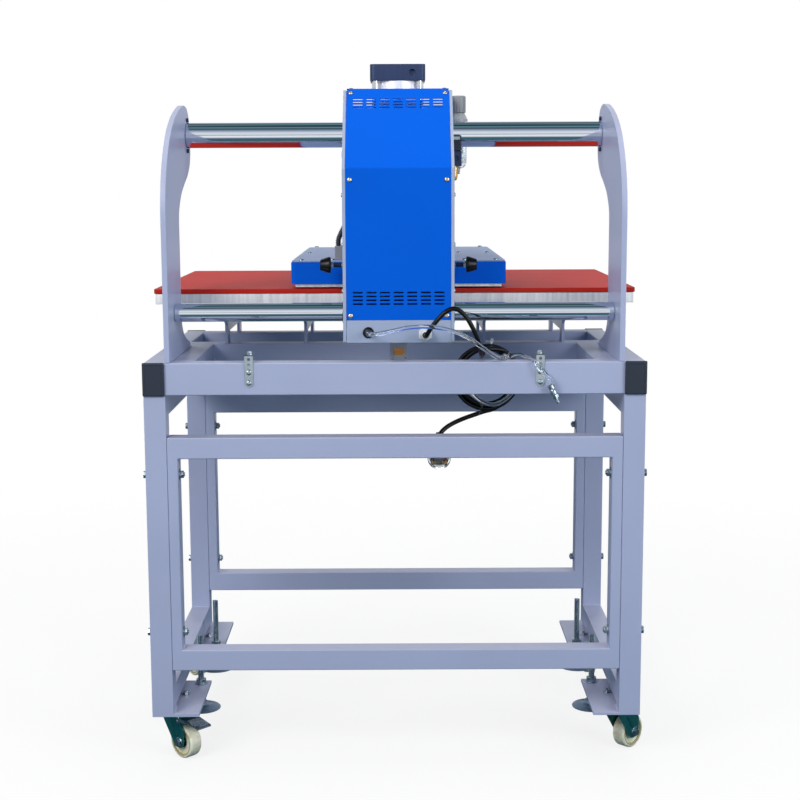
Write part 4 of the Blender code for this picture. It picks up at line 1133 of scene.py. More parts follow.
def castor_fork():
    """Ball-race head, crown and two legs, trailing along +X."""
    head = turned(
        [(0, 0.0805), (0.017, 0.0805), (0.0205, 0.0815), (0.0235, 0.0845), (0.0262, 0.0885), (0.0275, 0.0900),
         (0.0275, 0.0925), (0.0262, 0.0935), (0.0262, 0.0945), (0.0272, 0.0952), (0.0268, 0.0963), (0, 0.0963)], 56)
    crown = box((-0.0215, 0.0255), (-0.0163, 0.0163), (0.0800, 0.0846), 0.0018, 3)
    add(head, crown)
    for sign in (-1, 1):
        add(head, castor_leg(sign))
    add(head, turned([(0, -0.0176), (0.0040, -0.0176), (0.0040, 0.0176), (0, 0.0176)], 20,
                     aimed((0.033, 0, CASTOR_AXLE), (0, 1, 0))))
    return head


def axle_hardware():
    """Axle bolt head, nut and washers outside the legs."""
    shape = bmesh.new()
    for sign in (-1, 1):
        add(shape, copied_from(hex_bolt(0.0115, 0.0062), aimed((0.033, sign * 0.0175, CASTOR_AXLE), (0, sign, 0))))
    add(shape, copied_from(dome_screw(0.0042, 0.0016), aimed((0.030, -0.0175, 0.0735), (0, -1, 0))))
    add(shape, copied_from(dome_screw(0.0042, 0.0016), aimed((0.030, 0.0175, 0.0735), (0, 1, 0))))
    return shape


def copied_from(shape, matrix):
    bmesh.ops.transform(shape, matrix=matrix, verts=shape.verts)
    return shape


def castor_wheel():
    """Cream tread and web, olive shoulder rings (1), steel bearing with a dark seal (2, 3)."""
    half, radius = 0.013, 0.0325
    tread = [(0.0118, -0.0082), (0.0240, -0.0086), (0.0252, -half + 0.0004), (0.0262, -half), (0.0300, -half),
             (radius - 0.0006, -half + 0.0016), (radius, -half + 0.0034), (radius, half - 0.0034),
             (radius - 0.0006, half - 0.0016), (0.0300, half), (0.0262, half), (0.0252, half - 0.0004),
             (0.0240, 0.0086), (0.0118, 0.0082)]
    shape = turned(tread, 96)
    for sign in (-1, 1):
        ring = [(0.0241, sign * 0.0084), (0.0250, sign * (half - 0.0005)), (0.0262, sign * (half + 0.0002)),
                (0.0272, sign * (half + 0.0001)), (0.0272, sign * (half - 0.001)), (0.0241, sign * 0.0080)]
        add(shape, turned(ring, 72), finish=1)
        seal = [(0.0078, sign * 0.0080), (0.0100, sign * 0.0104), (0.0117, sign * 0.0104), (0.0117, sign * 0.0078)]
        add(shape, turned(seal, 40), finish=3)
    hub = [(0.0052, -0.0136), (0.0078, -0.0136), (0.0085, -0.0128), (0.0085, 0.0128), (0.0078, 0.0136), (0.0052, 0.0136)]
    add(shape, turned(hub, 40), finish=2)
    return copied_from(shape, aimed((0.033, 0, CASTOR_AXLE), (0, 1, 0)))


def brake_pedal():
    """Pressed zinc pedal: upturned sides, pressed ribs across the tread and a rolled front lip."""
    shape = bmesh.new()
    line = smooth([(0.0318, 0.0793, 0), (0.044, 0.0797, 0), (0.054, 0.0793, 0), (0.068, 0.0765, 0),
                   (0.0835, 0.0732, 0), (0.0880, 0.0712, 0), (0.0872, 0.0697, 0)], 5)
    half, thick = 0.0178, 0.0014
    upper = [(point.x, point.y + thick / 2) for point in line]
    lower = [(point.x, point.y - thick / 2) for point in reversed(line)]
    deck = prism([(t, -half, z) for t, z in upper + lower], (0, 2 * half, 0))
    bevelled(deck, 0.0004, 1, 60)
    add(shape, deck)
    for index in range(7):
        reach = 0.0560 + 0.0038 * index
        level = 0.0796 - 0.00042 * index - 0.0000042 * index**2 - 0.0004 * index * 0.48
        ridge = turned([(0, -0.0140), (0.0007, -0.0136), (0.0007, 0.0136), (0, 0.0140)], 10,
                       aimed((reach, 0, level), (0, 1, 0)))
        add(shape, ridge)
    for sign in (-1, 1):
        flange = [(t, sign * half, z) for t, z in rounded(
            [(0.0318, 0.0795), (0.052, 0.0795), (0.066, 0.0762), (0.052, 0.0735), (0.0335, 0.0735)], 0.0015, 3)]
        side = prism(flange, (0, sign * 0.0013, 0))
        bevelled(side, 0.0004, 1, 60)
        add(shape, side)
    return shape


def castor_top_plate():
    """Pressed plate under the stand's foot; it doesn't swivel."""
    outline = rounded([(-0.0225, -0.0385), (0.0225, -0.0385), (0.0225, 0.0385), (-0.0225, 0.0385)], 0.006, 5)
    plate = prism([(x, y, 0.0968) for x, y in outline], (0, 0, 0.0029))
    bevelled(plate, 0.0006, 2, 60)
    return plate


def make_castors():
    plates, bolts = bmesh.new(), []
    for corner in CORNERS:
        place = castor_frame(corner)
        fork_body, wheel_body = f"castor_{corner}", f"wheel_{corner}"
        piece(f"castor_fork_{corner}_pressed", copied_from(castor_fork(), place), fork_body, "castor_zinc",
              replaces=(f"castor_fork_{corner}",))
        piece(f"castor_axle_{corner}", copied_from(axle_hardware(), place), fork_body, "zinc")
        piece(f"castor_wheel_{corner}_moulded", copied_from(castor_wheel(), place), wheel_body, "wheel_nylon",
              "wheel_nylon", "worn_edge", "zinc", "black_rubber", replaces=(f"castor_wheel_{corner}",))
        if f"brake_press_{corner}" in joints:
            piece(f"brake_pedal_{corner}_pressed", copied_from(brake_pedal(), place), f"brake_{corner}", "zinc",
                  replaces=(f"brake_pedal_{corner}",))
        pivot = place.translation
        square = Matrix.Translation((pivot.x, pivot.y, 0))
        add(plates, castor_top_plate(), square)
        for across in (-0.0175, 0.0175):
            for along in (-0.0325, 0.0325):
                bolts.append(((pivot.x + across, pivot.y + along, LEG_FOOT), (0, 0, 1)))
    piece("castor_top_plates", plates, "frame", "castor_zinc")
    free = [(place, up) for place, up in bolts if abs(place[0]) < HALF_WIDTH - TUBE - 0.008 or
            TUBE + 0.010 < place[1] - BACK < FRAME_DEPTH - TUBE - 0.010]
    set_many("castor_plate_bolts", free, lambda: nut_on_stud(0.010, 0.0048, 0.003, 0.0035), "frame", "zinc")


def levelling_foot():
    """Domed pressed pad, swivel collar, locking nuts and a threaded stud, standing on Z = 0."""
    shape = turned(
        [(0, 0.0), (0.0360, 0.0), (0.0378, 0.0006), (0.0380, 0.0020), (0.0370, 0.0032), (0.0335, 0.0040),
         (0.0290, 0.0052), (0.0230, 0.0062), (0.0175, 0.0078), (0.0150, 0.0098), (0.0142, 0.0125),
         (0.0128, 0.0140), (0.0085, 0.0146), (0, 0.0146)], 72)
    add(shape, copied_from(hex_prism(0.0170, 0.0, 0.0085), Matrix.Translation((0, 0, 0.0140))), finish=1)
    add(shape, threaded(0.0060, 0.0200, 0.1540, 0.00175, 20), finish=1)
    return shape


def make_feet():
    lock_nuts = []
    for corner in CORNERS:
        low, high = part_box(f"levelling_foot_{corner}")
        middle = Vector(((low.x + high.x) / 2, (low.y + high.y) / 2, low.z))
        piece(f"levelling_foot_{corner}_turned", copied_from(levelling_foot(), Matrix.Translation(middle)),
              f"foot_{corner}", "zinc", "foot_pad_paint", "zinc", replaces=(f"levelling_foot_{corner}",))
        lock_nuts.append(((middle.x, middle.y, LEG_FOOT), (0, 0, 1)))

    def ring_nut():
        ring = turned([(0.0064, 0.0), (0.0128, 0.0), (0.0128, 0.0012), (0.0122, 0.0016), (0.0064, 0.0016)], 32)
        body = hex_prism(0.0185, 0.0016, 0.0105)
        bore = turned([(0, -0.01), (0.0064, -0.01), (0.0064, 0.02), (0, 0.02)], 24)
        add(ring, cut_out(body, bore))
        return ring

    set_many("foot_lock_nuts", lock_nuts, ring_nut, "frame", "zinc")


def make_stand():
    for node in ("base_frame", "rear_brace", "front_brace", "end_frame_left", "end_frame_right"):
        softened(node, f"{node}_tubes", "frame", "frame_paint", 0.0022, 3)
    for label, _ in SIDES:
        node = f"platen_support_{label}"
        softened(node, f"{node}_plates", "frame", "frame_paint", 0.0009)
    stand_welds()
    make_end_plugs()
    frame_fasteners()
    make_side_plates()
    make_shafts()
    make_platens()
    make_brackets()
    make_castors()
    make_feet()


# ---------------------------------------------------------------- carriage


CARRIAGE_BACK = 0.020
FOLD_HEIGHT, COVER_TOP, SLANT_DEPTH, COVER_FRONT = 1.129, 1.2774, 0.148, 0.410
SCREW_REACH = 0.0885
SLOT_WIDTH, SLOT_HEIGHT, SLOT_PITCH, ROW_PITCH = 0.019, 0.0031, 0.025, 0.007


def slant_place(height):
    """Depth of the sloping upper back at a height."""
    share = (height - FOLD_HEIGHT) / (COVER_TOP - FOLD_HEIGHT)
    return CARRIAGE_BACK + (SLANT_DEPTH - CARRIAGE_BACK) * share


def vent_cutter(centre, upward, outward):
    """Seven columns and four rows of round-ended slots round a point of the cover."""
    gathered = bmesh.new()
    half, radius = SLOT_WIDTH / 2 - SLOT_HEIGHT / 2, SLOT_HEIGHT / 2
    outline = []
    for start, offset in ((-90, half), (90, -half)):
        for step in range(5):
            angle = math.radians(start + 180 * step / 4)
            outline.append((offset + radius * math.cos(angle), radius * math.sin(angle)))
    for column in range(7):
        for row in range(4):
            middle = Vector(centre) + Vector((SLOT_PITCH * (column - 3), 0, 0))
            middle += Vector(upward) * ROW_PITCH * (row - 1.5) - Vector(outward) * 0.006
            points = [middle + Vector((across, 0, 0)) + Vector(upward) * rise for across, rise in outline]
            add(gathered, prism(points, Vector(outward) * 0.012))
    return gathered


def make_rear_cover():
    """One bent sheet with round bends, cut-off top corners and two blocks of vents."""
    low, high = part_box("rear_cover")
    thick, bottom = 0.0018, low.z
    path = [(CARRIAGE_BACK, bottom), (CARRIAGE_BACK, FOLD_HEIGHT), (SLANT_DEPTH, COVER_TOP), (COVER_FRONT, COVER_TOP)]
    inner = [(COVER_FRONT, COVER_TOP - thick), (SLANT_DEPTH + 0.0008, COVER_TOP - thick),
             (CARRIAGE_BACK + thick, FOLD_HEIGHT - 0.0008), (CARRIAGE_BACK + thick, bottom)]
    bends = [0, 0.0055, 0.0055, 0, 0, 0.0038, 0.0038, 0]
    outline = rounded([(*point, bend) for point, bend in zip(path + inner, bends)], 0, 6)
    shape = prism([(low.x, y_of(depth), z) for depth, z in outline], (high.x - low.x, 0, 0))
    slope = Vector((0, SLANT_DEPTH - CARRIAGE_BACK, COVER_TOP - FOLD_HEIGHT)).normalized()
    outward = Vector((0, -slope.z, slope.y))
    upper, lower = 1.2490, 0.8920
    cutter = vent_cutter((CARRIAGE_X, y_of(slant_place(upper)), upper), slope, outward)
    add(cutter, vent_cutter((CARRIAGE_X, y_of(CARRIAGE_BACK), lower), (0, 0, 1), (0, -1, 0)))
    for side, edge in ((-1, low.x), (1, high.x)):
        corner = [(edge - side * 0.0075, 0, 0), (edge + side * 0.002, 0, 0), (edge + side * 0.002, 0, -0.0095)]
        top = Vector((0, y_of(SLANT_DEPTH), COVER_TOP)) + slope * 0.0015 - outward * 0.008
        points = [Vector((x, 0, 0)) + top + slope * z for x, _, z in corner]
        add(cutter, prism(points, outward * 0.016))
    bmesh.ops.recalc_face_normals(cutter, faces=cutter.faces)
    shape = cut_out(shape, cutter)
    bmesh.ops.remove_doubles(shape, verts=shape.verts, dist=1e-6)
    piece("rear_cover_bent", shape, "carriage", "blue_paint", replaces=("rear_cover",), sharp=28)
    places = []
    for side in (-1, 1):
        x = CARRIAGE_X + side * SCREW_REACH
        for height in (1.1076, 0.8600):
            places.append(((x, y_of(CARRIAGE_BACK), height), (0, -1, 0)))
        places.append(((x, y_of(slant_place(1.2688)), 1.2688), outward))
        for depth in (0.175, 0.385):
            places.append(((x, y_of(depth), COVER_TOP), (0, 0, 1)))
    set_many("cover_screws", places, lambda: dome_screw(0.0046, 0.0027), "carriage", "zinc", "bronze")


def make_connection_panel():
    """Lower panel with the hose's grommeted hole and its push-on elbow behind."""
    low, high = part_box("connection_panel")
    hose_x, hose_z = CARRIAGE_X - 0.056, 0.829
    sheet = box((low.x, high.x), (y_of(CARRIAGE_BACK), y_of(CARRIAGE_BACK + 0.0025)), (low.z, high.z))
    bore = turned([(0, -0.02), (0.0085, -0.02), (0.0085, 0.02), (0, 0.02)], 40,
                  aimed((hose_x, y_of(CARRIAGE_BACK), hose_z), (0, 1, 0)))
    sheet = cut_out(sheet, bore)
    bevelled(sheet, 0.0004, 1, 60)
    piece("connection_panel_sheet", sheet, "carriage", "bracket_paint", replaces=("connection_panel",))
    grommet = turned([(0.0066, -0.0018), (0.0078, -0.0026), (0.0100, -0.0020), (0.0104, -0.0004), (0.0086, 0.0),
                      (0.0084, 0.0026), (0.0098, 0.0030), (0.0096, 0.0044), (0.0070, 0.0046), (0.0064, 0.0034)], 48,
                     aimed((hose_x, y_of(CARRIAGE_BACK), hose_z), (0, 1, 0)))
    piece("hose_grommet", grommet, "carriage", "black_rubber")
    stub = turned([(0, 0.0), (0.0030, 0.0), (0.0040, 0.0012), (0.0040, 0.0190), (0.0060, 0.0200), (0.0062, 0.0300), (0, 0.0300)],
                  32, aimed((hose_x, y_of(-0.0058), hose_z), (0, 1, 0)))
    piece("hose_stub", stub, "carriage", "black_plastic")
    seam = []
    for side in (-1, 1):
        seam.append(((CARRIAGE_X + side * (SCREW_REACH + 0.0040), y_of(0.060), low.z + 0.0045), (0, 0, -1)))
    set_many("panel_screws", seam, lambda: dome_screw(0.0036, 0.0020), "carriage", "zinc")


def make_gland():
    """Nylon cable gland: locknut, hexagon body, ribbed domed cap and a soft seal round the lead."""
    x, z = CARRIAGE_X + 0.049, 0.826
    shape = hex_prism(0.0240, 0.0, 0.0065)
    add(shape, turned([(0.0045, 0.0065), (0.0112, 0.0065), (0.0112, 0.0080), (0.0104, 0.0085), (0.0104, 0.0165),
                       (0.0098, 0.0195), (0.0080, 0.0225), (0.0062, 0.0236), (0.0050, 0.0230), (0.0045, 0.0215)], 48))
    for index in range(12):
        angle = math.tau * index / 12
        rib = box((0.0099, 0.0109), (-0.0008, 0.0008), (0.0088, 0.0168), 0.0003, 1)
        add(shape, rib, Matrix.Rotation(angle, 4, "Z"))
    add(shape, turned([(0, 0.0190), (0.0048, 0.0200), (0.0062, 0.0228), (0.0056, 0.0246), (0.0046, 0.0252), (0, 0.0248)], 40), finish=1)
    place = aimed((x, y_of(CARRIAGE_BACK - 0.0003), z), (0, -1, 0))
    piece("cable_gland_nylon", copied_from(shape, place), "carriage", "white_plastic", "white_plastic", "black_rubber",
          replaces=("cable_gland",))


def cheek_hardware():
    """Bolts through both cheeks: into the tie plates, the bushings and the press bridge."""
    bolts, small = [], []
    for x, side in ((CHEEK_LEFT, -1), (CHEEK_RIGHT, 1)):
        for depth, height in ((0.410, 1.156), (0.520, 1.156), (0.159, 0.870), (0.159, 1.050), (0.537, 1.180), (0.537, 1.240)):
            bolts.append(((x, y_of(depth), height), (side, 0, 0)))
        for depth, height in ((0.300, 1.2335), (0.300, 1.1585), (0.2625, 1.196), (0.3375, 1.196)):
            if side < 0 or depth != 0.3375:
                small.append(((x, y_of(depth), height), (side, 0, 0)))
        for depth, height in ((0.084, 0.8900), (0.084, 0.8340), (0.056, 0.8620), (0.112, 0.8620)):
            small.append(((x, y_of(depth), height), (side, 0, 0)))
        for height in (0.905, 0.990, 1.080):
            small.append(((x, y_of(0.032), height), (side, 0, 0)))
    set_many("cheek_bolts", bolts, lambda: dome_screw(0.0062, 0.0036), "carriage", "zinc")
    set_many("cheek_screws", small, lambda: dome_screw(0.0040, 0.0022), "carriage", "zinc")


def make_bushings():
    """Linear bushing housings between the cheeks, with a flange and felt wiper at each end."""
    for node in ("upper_bushing", "lower_bushing"):
        low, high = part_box(node)
        radius, half = (high.z - low.z) / 2, (high.x - low.x) / 2
        shaft = 0.025 if node == "upper_bushing" else 0.0175
        profile = [(shaft + 0.0006, -half), (radius, -half), (radius, 0.008 - half), (radius - 0.003, 0.0085 - half),
                   (radius - 0.003, half - 0.0085), (radius, half - 0.008), (radius, half), (shaft + 0.0006, half)]
        centre = ((low.x + high.x) / 2, (low.y + high.y) / 2, (low.z + high.z) / 2)
        piece(f"{node}_turned", turned(profile, 64, aimed(centre, (1, 0, 0))), "carriage", "zinc", replaces=(node,))
        wiper = bmesh.new()
        for side in (-1, 1):
            outer = shaft + 0.0045
            ring = turned([(shaft + 0.0005, 0.0), (outer, 0.0), (outer, 0.0022), (shaft + 0.0016, 0.0030), (shaft + 0.0005, 0.0026)], 56,
                          aimed((CARRIAGE_X + side * 0.1025, centre[1], centre[2]), (side, 0, 0)))
            add(wiper, ring)
        piece(f"{node}_wipers", wiper, "carriage", "black_rubber")


def cap_block(node, width):
    shape = cad_copy(node)
    upright = [e for e in shape.edges if len(e.link_faces) == 2 and e.calc_face_angle(0) > 1.2
               and abs(e.verts[0].co.z - e.verts[1].co.z) > 0.02 and e.calc_length() < 0.04]
    bevelled(shape, 0.008, 5, edges=upright)
    return bevelled(shape, width, 2, 50)


def make_cylinder():
    """Air cylinder: die-cast caps with counterbored bolts, drawn barrel, tie rods and hose elbows."""
    x, y = CARRIAGE_X, y_of(0.475)
    top_low, top_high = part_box("cylinder_top_cap")
    bottom_low, bottom_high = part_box("cylinder_bottom_cap")
    half = (top_high.x - top_low.x) / 2
    outline = rounded([(x - half, y - half), (x + half, y - half), (x + half, y + half), (x - half, y + half)], 0.009, 6)
    cap = prism([(px, py, top_low.z) for px, py in outline], (0, 0, top_high.z - top_low.z))
    wells, nuts = bmesh.new(), []
    for across in (-0.0455, 0.0455):
        for along in (-0.0455, 0.0455):
            add(wells, turned([(0, -0.008), (0.0088, -0.008), (0.0088, 0.004), (0, 0.004)], 28,
                              Matrix.Translation((x + across, y + along, top_high.z))))
            nuts.append(((x + across, y + along, top_high.z - 0.008), (0, 0, 1)))
    add(wells, turned([(0, 0), (0.0066, 0), (0.0066, 0.02), (0, 0.02)], 28, aimed((x + 0.030, y - half + 0.008, top_low.z + 0.016), (0, -1, 0))))
    cap = cut_out(cap, wells)
    bevelled(cap, 0.0012, 2, 55)
    piece("cylinder_top_cap_cast", cap, "carriage", "black_anodised", replaces=("cylinder_top_cap",))
    set_many("cylinder_cap_nuts", nuts, lambda: socket_bolt(0.0072, 0.0066), "carriage", "black_anodised")
    base = prism([(px, py, bottom_low.z) for px, py in outline], (0, 0, 0.0275))
    bore = turned([(0, -0.01), (0.013, -0.01), (0.013, 0.06), (0, 0.06)], 40, Matrix.Translation((x, y, bottom_low.z)))
    base = cut_out(base, bore)
    bevelled(base, 0.0012, 2, 55)
    rods = bmesh.new()
    for across in (-0.0455, 0.0455):
        for along in (-0.0455, 0.0455):
            place = Matrix.Translation((x + across, y + along, 0))
            add(rods, turned([(0, bottom_low.z + 0.027), (0.0050, bottom_low.z + 0.027), (0.0050, top_low.z - 0.0003), (0, top_low.z - 0.0003)], 24, place))
    piece("cylinder_bottom_cap_cast", base, "carriage", "black_anodised", replaces=("cylinder_bottom_cap",))
    piece("cylinder_tie_rods", rods, "carriage", "chrome")
    low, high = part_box("cylinder_barrel")
    barrel = turned([(0.050, low.z), (0.054, low.z), (0.054, high.z), (0.050, high.z)], 96, Matrix.Translation((x, y, 0)))
    piece("cylinder_barrel_drawn", barrel, "carriage", "aluminium", replaces=("cylinder_barrel",))
    elbows = bmesh.new()
    for height in (top_low.z + 0.016, bottom_low.z + 0.014):
        add(elbows, elbow(0.0065, 0.0040), aimed((x + 0.030, y + half, height), (0, 1, 0)))
    piece("cylinder_elbows", elbows, "carriage", "black_plastic", "black_plastic", "brass")


def elbow(thread, tube):
    """Push-in fitting: brass thread (1), hexagon and a plastic collar, up Z."""
    shape = turned([(0, -0.003), (thread, -0.003), (thread, 0.002), (0, 0.002)], 24)
    for face in shape.faces:
        face.material_index = 1
    add(shape, hex_prism(0.012, 0.002, 0.0070), finish=1)
    add(shape, turned([(tube, 0.0070), (0.0062, 0.0070), (0.0062, 0.0180), (0.0050, 0.0196), (tube, 0.0196)], 32))
    return shape


def make_air_unit():
    """Solenoid valve with its coil and plug, filter regulator with a clear bowl, gauge and knob."""
    low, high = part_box("solenoid_valve")
    x = (low.x, high.x)
    body = box(x, (low.y, high.y), (1.1335, 1.162), 0.0012)
    ports = bmesh.new()
    middle_x, middle_y = (x[0] + x[1]) / 2, (low.y + high.y) / 2
    add(ports, turned([(0, -0.004), (0.0058, -0.004), (0.0058, 0.004), (0, 0.004)], 28, aimed((middle_x, low.y, 1.1480), (0, -1, 0))))
    body = cut_out(body, ports)
    piece("valve_body", body, "carriage", "black_anodised", replaces=("solenoid_valve",))
    coil = box((x[0] + 0.0008, x[1] - 0.0006), (low.y + 0.0012, high.y - 0.0012), (1.1622, 1.1930), 0.0022, 3)
    ribs = bmesh.new()
    for level in (1.1695, 1.1755, 1.1815):
        add(ribs, box((x[0] - 0.01, x[1] + 0.01), (low.y - 0.002, low.y + 0.0024), (level - 0.0006, level + 0.0006)))
    piece("valve_coil", cut_out(coil, ribs), "carriage", "black_plastic")
    label = box((x[0] + 0.0035, x[1] - 0.0035), (low.y + 0.0006, low.y + 0.0016), (1.1840, 1.1905), 0.0003, 1)
    add(label, dome_screw(0.0026, 0.0016), aimed((middle_x, middle_y, 1.1928), (0, 0, 1)))
    piece("valve_coil_plate", label, "carriage", "zinc")
    silencer_x, silencer_y = CHEEK_RIGHT + 0.0003 + 0.0085, y_of(0.250)
    silencer = turned(
        [(0, 1.1340), (0.0045, 1.1340), (0.0045, 1.1315), (0.0065, 1.1310), (0.0065, 1.1262), (0.0058, 1.1255),
         (0.0058, 1.1150), (0.0052, 1.1095), (0.0034, 1.1062), (0, 1.1050)], 40)
    piece("valve_silencer", copied_from(silencer, Matrix.Translation((silencer_x, silencer_y, 0))), "carriage", "zinc", "brass")
    ring = hex_prism(0.0118, 1.1266, 1.1308)
    piece("valve_silencer_hexagon", copied_from(ring, Matrix.Translation((silencer_x, silencer_y, 0))), "carriage", "zinc", "brass")

    rx, ry = CARRIAGE_X + 0.1236, y_of(0.3735)
    upright = Matrix.Translation((rx, ry, 0))
    bonnet = turned([(0.0050, 1.2412), (0.0118, 1.2412), (0.0128, 1.2395), (0.0163, 1.2325), (0.0172, 1.2300),
                     (0.0185, 1.2285), (0.0185, 1.2050), (0.0172, 1.2005), (0.0166, 1.1962), (0.0140, 1.1960), (0.0050, 1.1980)], 64, upright)
    arm = box((CHEEK_RIGHT + 0.0003, rx - 0.010), (ry - 0.010, ry + 0.010), (1.2042, 1.2238), 0.0020, 3)
    add(bonnet, arm)
    for side in (-1, 1):
        add(bonnet, hex_prism(0.0130, 0.0, 0.0030), aimed((rx, ry + side * 0.0172, 1.2150), (0, side, 0)))
    piece("regulator_body", bonnet, "carriage", "grey_plastic", "pale_plastic", replaces=("filter_regulator",))
    bowl = turned([(0.0152, 1.1958), (0.0164, 1.1958), (0.0164, 1.1420), (0.0156, 1.1372), (0.0120, 1.1325), (0.0070, 1.1300),
                   (0.0040, 1.1300), (0.0040, 1.1314), (0.0068, 1.1316), (0.0112, 1.1340), (0.0144, 1.1382), (0.0152, 1.1422)], 64, upright)
    piece("regulator_bowl", bowl, "carriage", "clear_plastic")
    inside = turned([(0, 1.1950), (0.0060, 1.1950), (0.0060, 1.1800), (0.0090, 1.1790), (0.0090, 1.1600), (0.0040, 1.1580),
                     (0.0040, 1.1312), (0.0030, 1.1200), (0.0030, 1.1185), (0, 1.1185)], 40, upright)
    piece("regulator_filter", inside, "carriage", "white_plastic")
    gauge = turned([(0, 0.0), (0.0050, 0.0), (0.0050, 0.0040), (0.0150, 0.0050), (0.0158, 0.0062), (0.0158, 0.0135), (0.0146, 0.0142),
                    (0.0140, 0.0132), (0, 0.0132)], 56, aimed((rx, ry + 0.0198, 1.2150), (0, 1, 0)))
    piece("pressure_gauge_case", gauge, "carriage", "black_plastic")
    face_place = aimed((rx, ry + 0.0331, 1.2150), (0, 1, 0))
    dial = turned([(0, 0.0), (0.0139, 0.0), (0.0139, 0.0002), (0, 0.0002)], 48)
    for index in range(11):
        angle = math.radians(225 - 27 * index)
        mark = box((0.0108, 0.0130), (-0.00025, 0.00025), (0.0002, 0.00035))
        add(dial, mark, Matrix.Rotation(angle, 4, "Z"), finish=1)
    needle = box((-0.003, 0.0105), (-0.0003, 0.0003), (0.0005, 0.0008))
    add(dial, needle, Matrix.Rotation(math.radians(115), 4, "Z"), finish=2)
    piece("pressure_gauge_dial", copied_from(dial, face_place), "carriage", "white_plastic", "white_plastic", "black_plastic", "red_plastic")

    knob_low, knob_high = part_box("regulator_knob")
    knob = turned([(0, knob_low.z), (0.0138, knob_low.z), (0.0145, knob_low.z + 0.001), (0.0145, knob_high.z - 0.0035),
                   (0.0136, knob_high.z - 0.0010), (0.0120, knob_high.z), (0.0070, knob_high.z), (0.0066, knob_high.z - 0.0008),
                   (0, knob_high.z - 0.0008)], 96, upright)
    for vert in knob.verts:
        away = Vector((vert.co.x - rx, vert.co.y - ry, 0))
        if away.length > 0.0128:
            flute = math.cos(16 * math.atan2(away.y, away.x))
            vert.co -= away.normalized() * (0.00055 if flute > -0.35 else 0.0) * (1 + flute) / 2
    piece("regulator_knob_fluted", knob, "knob", "grey_plastic", replaces=("regulator_knob",))


